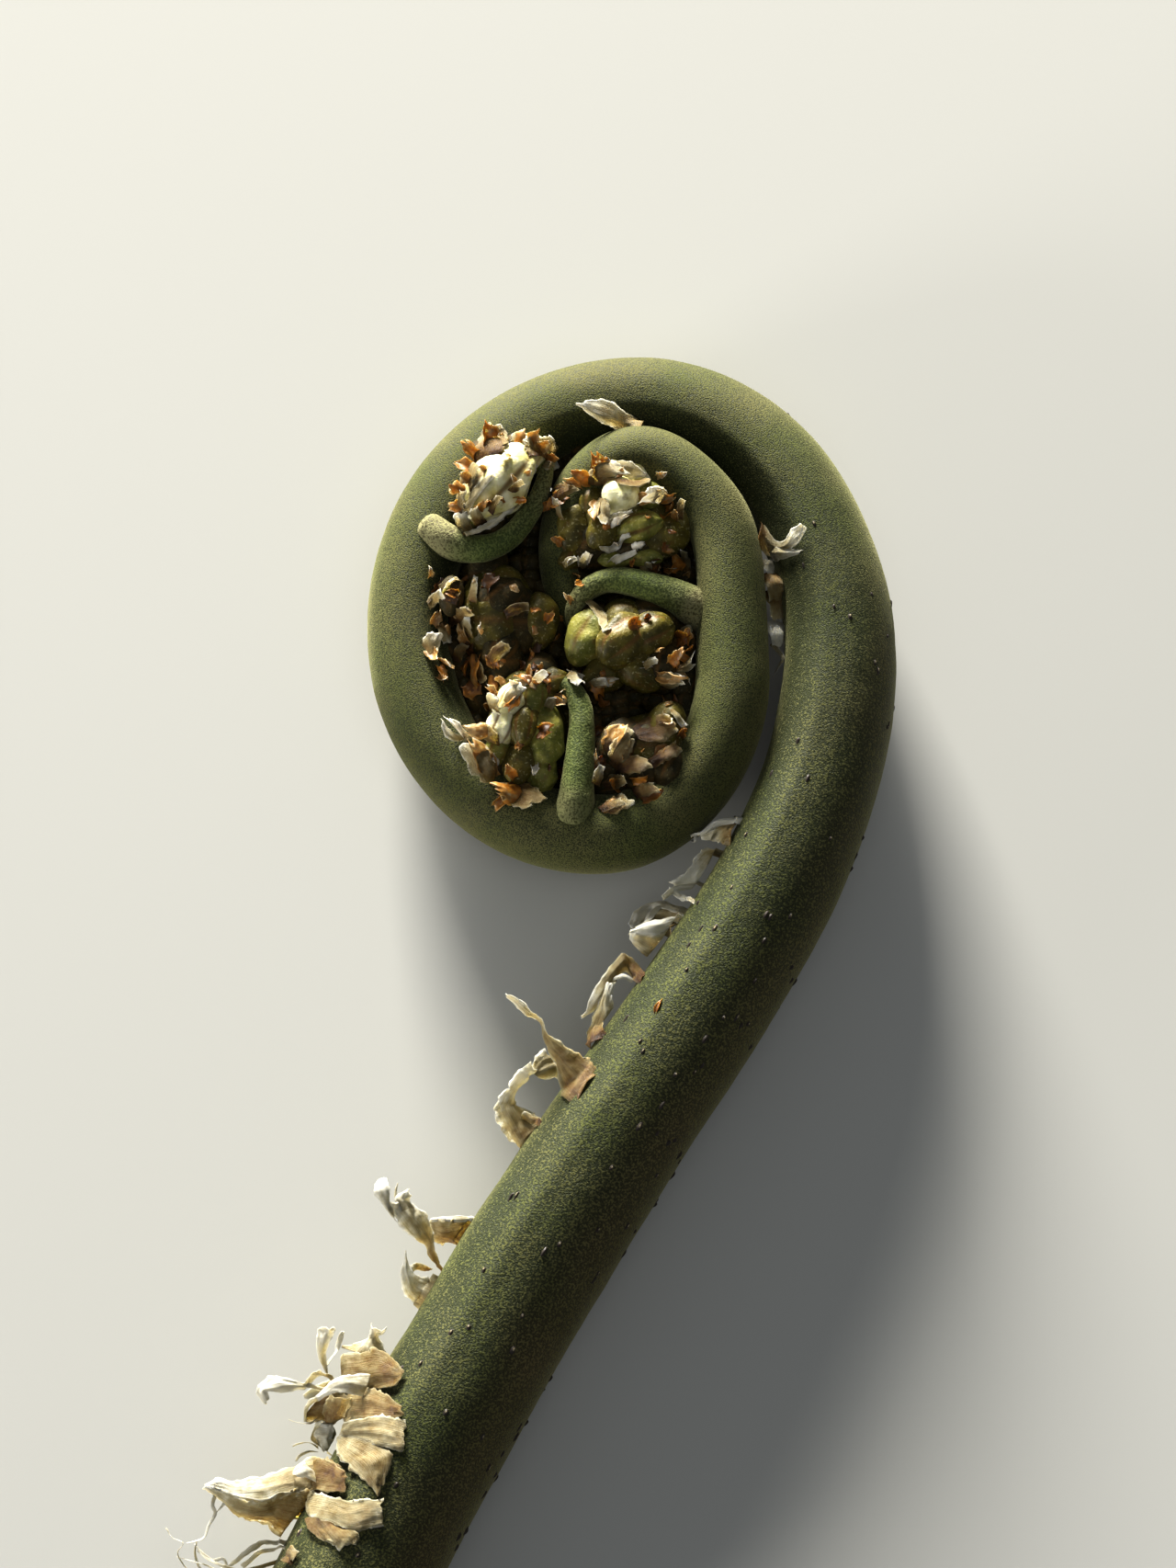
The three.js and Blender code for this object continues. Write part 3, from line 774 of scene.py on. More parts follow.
for k in range(VEINS):
    a = math.radians(15 + 330 * k / (VEINS - 1))
    spot = centre + VEIN_RING * radius * (math.cos(a) * inward + 0.92 * math.sin(a) * UP)
    spot = spot + 0.06 * radius * rng.normal(0, 0.5, 3)
    size = rng.uniform(0.35, 0.75)
    wide = np.cos(ring) * inward * size * 1.5 + np.sin(ring) * UP * size * 0.8
    outer, inner = spot + wide + ahead * 0.1, spot + wide * 0.6 - ahead * 0.22
    soup.add([outer, inner], grid_faces(2, VEIN_CORNERS, True), 1)
    soup.add(np.concatenate([inner, [spot - ahead * 0.12]]), fan, 1)
    rims.append(np.full(3 * VEIN_CORNERS + 1, 0.5))
cap = mesh_object("cut_end", soup, [CUT, VEIN], None, {"rim": np.concatenate(rims)})
settle(cap)


# The stems of the side fronds.

limb_path, _, _, limb_reach, _ = limb.at(np.linspace(0, 9, 901))
STALK_PART = 260  # how many points of that path lie in the stalk and its bend


def outside_limb(points):
    """How far points stand outside the limb's skin, roughly."""
    gap = np.linalg.norm(points[:, None] - limb_path[None], axis=2) - limb_reach[None]
    return gap.min(1)


STEM_SWELLS = [(0.07, 3.5, 21), (0.05, 1.1, 22)]


def stem_relief(points, degrees, radius):
    return swell(points, STEM_SWELLS)


coarse = Soup()  # a light copy of what carries the scales, for placing them


def carry_grid(points, down, around):
    thin = points[::down, ::around]
    coarse.add(thin, grid_faces(*thin.shape[:2]))


def carry_soup(soup):
    points, faces, _, _ = soup.all()
    coarse.add(points, faces)


STEM_SIDES = 60
STEM_STEP = 0.26
CAP_RINGS = 5
FAR_OUT = 40.0
# How far each stem's foot swells and how buff it is.
FEET = {"pinna_a_stem": (0.1, 1.3), "pinna_b_stem": (0.1, 0.9), "pinna_c_stem": (0.06, 0.5)}
for name, midline in stems.items():
    push, buff = FEET[name.replace("_lower", "")]
    along = limb_rows(midline, 0, midline.last, STEM_STEP)
    centre, ahead, _, radius, _ = midline.at(along)
    points, angles = skin_grid(midline, along, STEM_SIDES, stem_relief, push * hump(along, 0, 0.2))
    foot = dome(points[0], centre[0], ahead[0], radius[0], CAP_RINGS, -0.7)[::-1]
    head = dome(points[-1], centre[-1], ahead[-1], radius[-1], CAP_RINGS, 0.8)
    points = np.concatenate([foot, points, head])
    side = np.abs(np.degrees(np.pad(angles, ((CAP_RINGS, CAP_RINGS), (0, 0)), mode="edge")))
    gap = np.pad(outside_limb(centre), CAP_RINGS, constant_values=(0, FAR_OUT))
    root = np.exp(-np.maximum(gap, 0) / 3)[:, None]
    cover = 0.54 + 0.3 * root + 0.05 * noise(points, 4, 23) + 0.1 * smooth((side - 90) / 60)
    warm_here = np.clip(buff * root**2 + 0.2 * noise(points, 3, 24), 0, 1)
    attributes = {"felt": cover, "warm": warm_here, "close": 0 * side}
    soup = Soup()
    soup.add(points, grid_faces(*points.shape[:2]), 0, unrolled(*points.shape[:2]))
    piece = mesh_object(name + "_skin", soup, [stem_look], grid_normals(points), attributes, "OFBake")
    settle(piece, [name])
    carry_grid(points, 4, 5)
carry_grid(skin, 5, 4)


# The buds: beads on a winding coil, with the ribbed pods of furled leaflets on them.


def lump(soup, centre, axes, radii, slot, ribs, depth, rough, seed, rows, cols):
    """A rounded pod with seams along it where ribs isn't 0. axes are its long axis and the two across,
    radii its half sizes along them."""
    theta = np.linspace(0, math.pi, rows + 1)[1:-1][:, None]
    phi = circle(cols)[None]
    direction = stacked(np.cos(theta), np.sin(theta) * np.cos(phi), np.sin(theta) * np.sin(phi))
    seam = np.zeros(direction.shape[:2])
    if ribs:
        seam = (1 - np.abs(np.sin(ribs * phi / 2)) ** 0.6) * np.sin(theta)
    axes = np.asarray(axes)
    scale = float(np.mean(radii))
    points = centre + direction * radii * (1 - depth * seam)[..., None] @ axes
    grain = rough * scale * noise(points, 0.55 * scale, seed)
    points = points + direction @ axes * grain[..., None]
    ends = centre + np.array([[1, 0, 0], [-1, 0, 0]]) * radii[0] @ axes
    count = (rows - 1) * cols
    around = np.arange(cols)
    following = (around + 1) % cols
    last = (rows - 2) * cols
    fans = [stacked(count, around, following), stacked(count + 1, last + following, last + around)]
    fans = np.pad(np.concatenate(fans), ((0, 0), (0, 1)), constant_values=-1)
    faces = np.concatenate([grid_faces(rows - 1, cols, True)[:, ::-1], fans])
    maps = np.stack([np.append(seam.ravel(), [0, 0]), np.zeros(seam.size + 2)], 1)
    soup.add(np.concatenate([points.reshape(-1, 3), ends]), faces, slot, maps)


def axes_at(angle, tilt=0.0):
    """Long axis at an angle in the lying plane, tipped up by tilt, and the two across it."""
    a, t = math.radians(angle), math.radians(tilt)
    long = np.array([math.cos(a) * math.cos(t), math.sin(a) * math.cos(t), math.sin(t)])
    side = np.array([-math.sin(a), math.cos(a), 0.0])
    return np.array([long, side, np.cross(long, side)])


WINDING = 410  # degrees that the beads wind through


def bead_coil(bud, sign):
    """The middle and half sizes of each bead, and how far inwards it lies."""
    x, y, z, wide, tall, high, start, beads = bud
    for i in range(beads):
        inwards = i / (beads - 1)
        a = math.radians(start + WINDING * math.sqrt(inwards))
        out = 0.66 * (1 - inwards) ** 0.8
        size = 0.5 + 0.12 * inwards
        lift = sign * high * 0.22 * inwards
        centre = np.array([x + out * wide * math.cos(a), y + out * tall * math.sin(a), z + lift])
        yield centre, np.array([size * wide, size * tall, (0.72 + 0.18 * inwards) * high]), inwards


bud_soups = {}
for name, bud in BUDS.items():
    lower = (*to_lower(bud[:3]), *bud[3:7], min(4, bud[7] - 2))
    for key, row, sign in ((name, bud, 1), (name + "_lower", lower, -1)):
        soup = bud_soups[key] = Soup()
        for i, (centre, size, inwards) in enumerate(bead_coil(row, sign)):
            half = size * (0.86 + 0.02 * (i % 3))
            # The outer beads wear the painted-shade copy of the pods, the inner ones olive.
            look = POD_PAINTED_SHADE if inwards < 0.5 else POD_OLIVE
            lump(soup, centre, np.eye(3), half, look, 7, 0.06, 0.09, 40 + i, 18, 32)
for soup in bud_soups.values():
    carry_soup(soup)


def tree_of(soup):
    points, faces, _, _ = soup.all()
    polygons = [[int(i) for i in face if i >= 0] for face in faces]
    return BVHTree.FromPolygons([tuple(p) for p in points], polygons)


tree = tree_of(coarse)


def seen(px, py):
    """What the photograph's camera meets first through a pixel: the point and its normal, or None."""
    ray = unit(pixel_point(px, py, 0) - EYE)
    spot, normal, _, _ = tree.ray_cast(Vector(EYE), Vector(ray))
    if spot is None:
        return None
    normal = np.array(normal)
    return np.array(spot), normal if normal @ ray < 0 else -normal


# Pods of the upper side: bud, pixel, half sizes, angle, look (3 is the painted-shade copy, for pods in
# shade), ribs along it, and how far sunk as a share.
PODS = [
    ("pinna_a_bud", 543, 524, 7.2, 4.5, 50, 0, 6, 0.42),
    ("pinna_a_bud", 572, 493, 3.6, 2.9, 30, 0, 7, 0.42),
    ("pinna_a_bud", 519, 556, 2.8, 2.2, 70, 1, 6, 0.42),
    ("pinna_a_bud", 560, 543, 2.6, 1.5, 52, 1, 5, 0.4),
    ("pinna_a_bud", 588, 500, 2.2, 1.5, 60, 1, 5, 0.5), ("bud_top", 684, 513, 4.0, 2.2, -14, 0, 0, 0.42),
    ("bud_top", 676, 540, 3.2, 3.0, 60, 0, 0, 0.36), ("bud_top", 702, 540, 3.2, 2.4, 20, 1, 0, 0.44),
    ("bud_top", 721, 583, 4.2, 3.6, 20, 2, 0, 0.42), ("bud_top", 694, 573, 3.9, 2.7, 15, 1, 6, 0.42),
    ("bud_top", 657, 577, 3.2, 2.6, 70, 2, 0, 0.45), ("bud_top", 624, 574, 4.6, 2.9, 84, 2, 0, 0.44),
    ("bud_top", 643, 545, 2.7, 2.1, 80, 2, 5, 0.5), ("bud_top", 672, 607, 3.0, 1.6, 8, 1, 0, 0.45),
    ("bud_top", 700, 606, 3.0, 1.5, 0, 1, 0, 0.4), ("bud_top", 724, 612, 2.4, 1.4, -8, 1, 4, 0.45),
    ("bud_top", 620, 607, 2.4, 1.9, 60, 2, 4, 0.5), ("pinna_b_bud", 640, 694, 4.4, 3.7, 60, 1, 5, 0.4),
    ("pinna_b_bud", 677, 697, 4.6, 3.7, 48, 2, 6, 0.5),
    ("pinna_b_bud", 707, 690, 3.8, 3.2, 25, 2, 6, 0.42),
    ("pinna_b_bud", 660, 731, 3.8, 3.1, 20, 2, 0, 0.45),
    ("pinna_b_bud", 696, 730, 3.8, 3.1, -30, 2, 5, 0.45),
    ("pinna_b_bud", 722, 722, 3.0, 2.6, 80, 3, 5, 0.5),
    ("pinna_b_bud", 627, 718, 2.5, 2.0, 70, 1, 4, 0.5),
    ("pinna_c_bud", 556, 762, 3.4, 2.6, 60, 0, 6, 0.4),
    ("pinna_c_bud", 578, 760, 3.0, 2.4, 85, 1, 5, 0.42),
    ("pinna_c_bud", 600, 741, 2.6, 2.0, 20, 2, 4, 0.42),
    ("pinna_c_bud", 592, 803, 5.2, 3.1, 84, 1, 0, 0.38),
    ("pinna_c_bud", 549, 788, 3.6, 2.5, 70, 0, 6, 0.42),
    ("pinna_c_bud", 568, 826, 4.0, 2.7, 76, 2, 0, 0.42),
    ("pinna_c_bud", 541, 815, 2.8, 2.1, 60, 1, 5, 0.45),
    ("pinna_c_bud", 590, 842, 3.0, 2.2, 80, 1, 0, 0.45),
    ("pinna_c_bud", 570, 790, 3.4, 2.3, 80, 2, 6, 0.45),
    ("bud_left", 545, 652, 4.0, 3.2, 40, 3, 5, 0.62), ("bud_left", 587, 676, 4.4, 2.8, 84, 2, 0, 0.45),
    ("bud_left", 494, 655, 3.2, 2.0, 80, 3, 5, 0.85), ("bud_left", 500, 700, 3.4, 2.4, 100, 3, 6, 0.6),
    ("bud_left", 545, 703, 3.6, 2.9, 60, 3, 5, 0.6), ("bud_foot", 679, 807, 4.2, 3.2, 50, 3, 5, 0.66),
    ("bud_foot", 724, 793, 4.2, 3.2, 70, 2, 5, 0.66), ("bud_foot", 700, 838, 3.6, 2.8, 20, 3, 5, 0.45),
    ("bud_foot", 668, 850, 3.2, 2.5, 30, 3, 6, 0.5), ("bud_foot", 715, 757, 3.4, 2.8, 30, 2, 6, 0.5),
    ("bud_top", 743, 560, 3.2, 2.2, 80, 2, 5, 0.5), ("bud_top", 744, 600, 2.8, 2.1, 75, 3, 5, 0.5),
    ("pinna_b_bud", 742, 700, 3.0, 2.2, 80, 3, 5, 0.5),
    ("pinna_b_bud", 744, 738, 3.2, 2.3, 80, 3, 5, 0.5), ("bud_foot", 744, 775, 3.4, 2.4, 80, 3, 5, 0.5),
    ("bud_foot", 730, 838, 3.2, 2.4, 60, 3, 5, 0.5),
]
POD_TILT = 10  # the most that a pod tips up or down, in degrees
POD_HIGH = 0.9  # its height as a share of its width
POD_SEAMS = 0.1  # how deep the seams between its ribs go, as a share of its size
POD_GRID = (20, 36)
LOWER_POD_GRID = (18, 28)
pods_made = Soup()
for n, (bud, px, py, long, wide, angle, look, ribs, sunk) in enumerate(PODS):
    hit = seen(px, py)
    if hit is None:
        continue
    spot = hit[0] - VIEW * (wide * (sunk - 0.14) + 0.1)
    tilt = POD_TILT * math.sin(n * 2.3)
    size = np.array([long, wide, wide * POD_HIGH])
    for target in (bud_soups[bud], pods_made):
        lump(target, spot, axes_at(angle, tilt), size, look, ribs, POD_SEAMS, 0.13, 60 + n, *POD_GRID)
    lower, axes, size = to_lower(spot), axes_at(angle + LOWER_TURN, -tilt), size * LOWER_SIZE
    for target in (bud_soups[bud + "_lower"], pods_made):
        lump(target, lower, axes, size, max(look, 1), ribs, POD_SEAMS, 0.07, 160 + n, *LOWER_POD_GRID)
# Lumps close the clefts between the pods, where one would see through the coil; they wear painted shade, dark
# as deep clefts look.
RING_ENDS = (2.15, 6.15)  # the places on the limb where its outer turn starts and closes
ring_path = limb.at(np.linspace(*RING_ENDS, 200))[0][:, :2]


def inside_ring(x, y):
    (ax, ay), (bx, by) = ring_path.T, np.roll(ring_path, -1, 0).T
    crossed = (ay > y) != (by > y)
    meets = ax + (y - ay) * (bx - ax) / np.where(by == ay, 1e-9, by - ay)
    return np.count_nonzero(crossed & (x < meets)) % 2 == 1


# The eye of the coil is an oval.
OVAL_MIDDLE = (-9.2, -1.2)
OVAL_HALF = (21, 27.5)


def in_eye(x, y):
    return sum(((v - m) / h) ** 2 for v, m, h in zip((x, y), OVAL_MIDDLE, OVAL_HALF)) < 1


FILLER_STEP = 1.9
# A filler's material, ribs, depth of seams, roughness, seed and grid.
FILLER_FORM = (POD_PAINTED_SHADE, 5, 0.12, 0.12, 250, 10, 16)
SHALLOW = 2.5  # a cleft is a place where the surface lies farther than that beyond the middle plane
FAR_OFF = 40  # where the rays that look for the surface start, above or below it
DOWN = Vector((0, 0, -1))
fillers = Soup()
for x in np.arange(-36, 24, FILLER_STEP):
    for y in np.arange(-32, 32, FILLER_STEP):
        if not inside_ring(x, y) or not in_eye(x, y):
            continue
        front = tree.ray_cast(Vector((x, y, FAR_OFF)), DOWN)[0]
        back = tree.ray_cast(Vector((x, y, -FAR_OFF)), -DOWN)[0]
        if front is not None and front[2] > -SHALLOW and back[2] < SHALLOW:
            continue
        name = min(BUDS, key=lambda n: math.hypot(x - BUDS[n][0], y - BUDS[n][1]))
        size = rng.uniform(1.5, 2.3, 3) * [1, 1, 1.2]
        middle = np.array([x, y, rng.uniform(-0.8, 0.8)]) + [*rng.uniform(-0.3, 0.3, 2), 0]
        lump(bud_soups[name], middle, axes_at(90 * x), size, *FILLER_FORM)
        lump(fillers, middle, axes_at(rng.uniform(0, 180)), size, *FILLER_FORM)
for key, soup in bud_soups.items():
    settle(mesh_object(key + "_pods", soup, POD_LOOKS), [key])
carry_soup(fillers)
carry_soup(pods_made)
tree = tree_of(coarse)


# Papery scales.


# How thick the papery scales are, in millimetres.
PAPER_THICK = 0.11
SHEET_THICK = 0.09
PETAL_THICK = 0.05
FLAKE_THICK = 0.06


def leaf(soup, points, tones, thick=PAPER_THICK, slots=None):
    """A thin closed sheet over a grid of points from root to tip, with a map of its tone and its width."""
    rows_here, cols_here = points.shape[:2]
    normal = grid_normals(points, False)
    taper = 0.35 + 0.65 * np.sin(np.linspace(0, math.pi, cols_here))[None, :, None]
    half = 0.5 * thick * taper * normal
    t = np.linspace(0, 1, rows_here)[:, None]
    v = np.linspace(0, 1, cols_here)[None]
    rim = 0.24 * np.abs(2 * v - 1) ** 7 * np.minimum(1, 4 * t) + 0.2 * t**9
    maps = stacked(tones[0] + (tones[1] - tones[0]) * t + rim, v)
    faces = grid_faces(rows_here, cols_here)
    count = rows_here * cols_here
    index = np.arange(count).reshape(rows_here, cols_here)
    loop = np.concatenate([index[0], index[1:, -1], index[-1, -2::-1], index[-2:0:-1, 0]])
    after = np.roll(loop, -1)
    edge_faces = np.stack([loop, loop + count, after + count, after], 1)
    everything = np.concatenate([faces, faces[:, ::-1] + count, edge_faces])
    marks = 0
    if slots is not None:
        down = np.minimum(loop // cols_here, rows_here - 2)
        across = np.minimum(loop % cols_here, cols_here - 2)
        marks = np.concatenate([slots.ravel(), slots.ravel(), slots[down, across]])
    soup.add([points + half, points - half], everything, marks, [maps, maps])


ROOT_SINK = 0.25  # how deep roots lie in what carries them
ROOT_REACH = 6  # how far off a root may be of what the photograph shows there


def snapped(point, soup):
    """A scale's root, moved to the nearest skin or to the nearest scale of its tuft."""
    spot, normal, _, far = tree.find_nearest(Vector(point))
    if soup.count:
        others = np.concatenate(soup.points)
        gaps = np.linalg.norm(others - point, axis=1)
        if gaps.min() < far:
            return others[gaps.argmin()]
    spot, normal = np.array(spot), np.array(normal)
    return spot - ROOT_SINK * unit(normal * np.sign(normal @ (point - spot) + 1e-9))


def rooted(edge, text, soup):
    """An edge whose root is moved to what the photograph shows there, or else to what is nearest."""
    hit = seen(*pixels(text)[0])
    if hit is not None and np.linalg.norm(hit[0] - edge[0]) < ROOT_REACH:
        edge[0] = hit[0] - ROOT_SINK * hit[1]
    else:
        edge[0] = snapped(edge[0], soup)
    return edge


def pixels(text):
    return [[float(v) for v in pair.split(",")] for pair in text.split()]


def along_steps(values, count):
    """A few values that stand evenly along the way, at count even steps."""
    return np.interp(np.linspace(0, 1, count), np.linspace(0, 1, len(values)), values)


def traced(text, heights, over=None):
    """Points over the photograph's pixels. Where over is given, they keep that far above what is there."""
    spots, line = pixels(text), []
    for (px, py), h in zip(spots, along_steps(heights, len(spots))):
        hit = None if over is None else seen(px, py)
        line.append(pixel_point(px, py, h if hit is None else max(h, hit[0][2] + over)))
    return np.array(line)


def lifted(points, clear):
    """Points that would lie in the stalk or less than that far above its skin, pushed out to there."""
    flat = points.reshape(-1, 3)
    nearest = np.linalg.norm(flat[:, None] - limb_path[None, :STALK_PART], axis=2).argmin(1)
    away = flat - limb_path[nearest]
    far = np.linalg.norm(away, axis=1)
    wanted = np.maximum(far, limb_reach[nearest] + clear)
    return (limb_path[nearest] + away * (wanted / far)[:, None]).reshape(points.shape)


def sheet_between(soup, left, right, tones, cup, ruffle, seed, grid, ragged, thick, clear=0.0):
    """Paper between two edges: a crease that wanders down it, finer wrinkles, a curled hem, torn edges."""
    rows, cols = grid
    a, b = resample(left, rows), resample(right, rows)
    t = np.linspace(0, 1, cols)[None, :, None]
    along = np.linspace(0, 1, rows)[:, None, None]
    wide = np.linalg.norm(b - a, axis=1)[:, None, None]
    broad = float(np.max(wide))
    run = float(np.linalg.norm(np.diff((a + b) / 2, axis=0), axis=1).sum())
    across, direction = unit(b - a), unit(np.gradient((a + b) / 2, axis=0))
    face = unit(np.cross(direction, across))
    face = (face * np.where(face[:, 2:] < 0, -1, 1))[:, None]
    points = a[:, None] * (1 - t) + b[:, None] * t
    free = np.minimum(1, along * 5)

    def waves(where, size, number):
        return noise(where, size, number + seed)[..., None]

    def ridges(where, number):
        return 1 - 2 * np.abs(waves(where, 1, number)) ** 0.8

    crest = 0.5 + 0.27 * waves(stacked(along[..., 0] * run / 3.4, 0, seed), 1, 300)
    away = np.where(t < crest, (crest - t) / crest, (t - crest) / (1 - crest))
    bow = (1 - away**1.2) * cup * wide
    wave = waves(points, 2.4, 310) * ruffle * (0.3 + 0.9 * along) * free
    own = stacked(along[..., 0] * run / 2.6, t[..., 0] * broad / 0.9, 0)
    crumple = 0.5 * ruffle * ridges(own, 330) + 0.16 * ruffle * ridges(own * [1.3, 2.6, 1], 345)
    crumple = crumple * np.minimum(1, wide / 3) * free
    edge = np.abs(2 * t - 1) ** 4 * np.sign(2 * t - 1)
    hem = waves(points, 0.7, 390) * np.maximum(np.abs(edge), smooth((along - 0.7) / 0.3)) * free
    wave = wave + 1.3 * ruffle * np.minimum(1, 0.3 * wide) * hem
    torn = (waves(points, 0.8, 360) + 0.6 * waves(points, 0.35, 370)) * edge * ragged * wide
    tip = smooth((along - 0.8) / 0.2) * waves(points * [1, 1, 0.2], 0.6, 380)
    points = points + face * (bow + wave + crumple) + across[:, None] * torn
    points = points + direction[:, None] * tip * min(0.7, 0.25 * broad)
    if clear:
        points[3:] = lifted(points[3:], clear)
    leaf(soup, points, tones, thick)


THREAD_GRID = (26, 5)


def thread(soup, text, heights, width, tones, seed):
    """A thin curled strip along pixels of the photograph."""
    rows, cols = THREAD_GRID
    path = resample(traced(text, heights), rows)
    direction = unit(np.gradient(path, axis=0))
    twist = 0.6 * (np.linspace(0, 2.2, rows)[:, None] + seed)
    across = unit(np.cross(direction, VIEW))
    across = unit(across * np.cos(twist) + np.cross(direction, across) * np.sin(twist))
    half = 0.5 * width * (1 - 0.6 * np.linspace(0, 1, rows)[:, None] ** 2)
    points = path[:, None] + across[:, None] * half[:, None] * np.linspace(-1, 1, cols)[None, :, None]
    points = points + noise(points, 0.9, 400 + seed)[..., None] * 0.12 * VIEW
    leaf(soup, points, tones, SHEET_THICK)


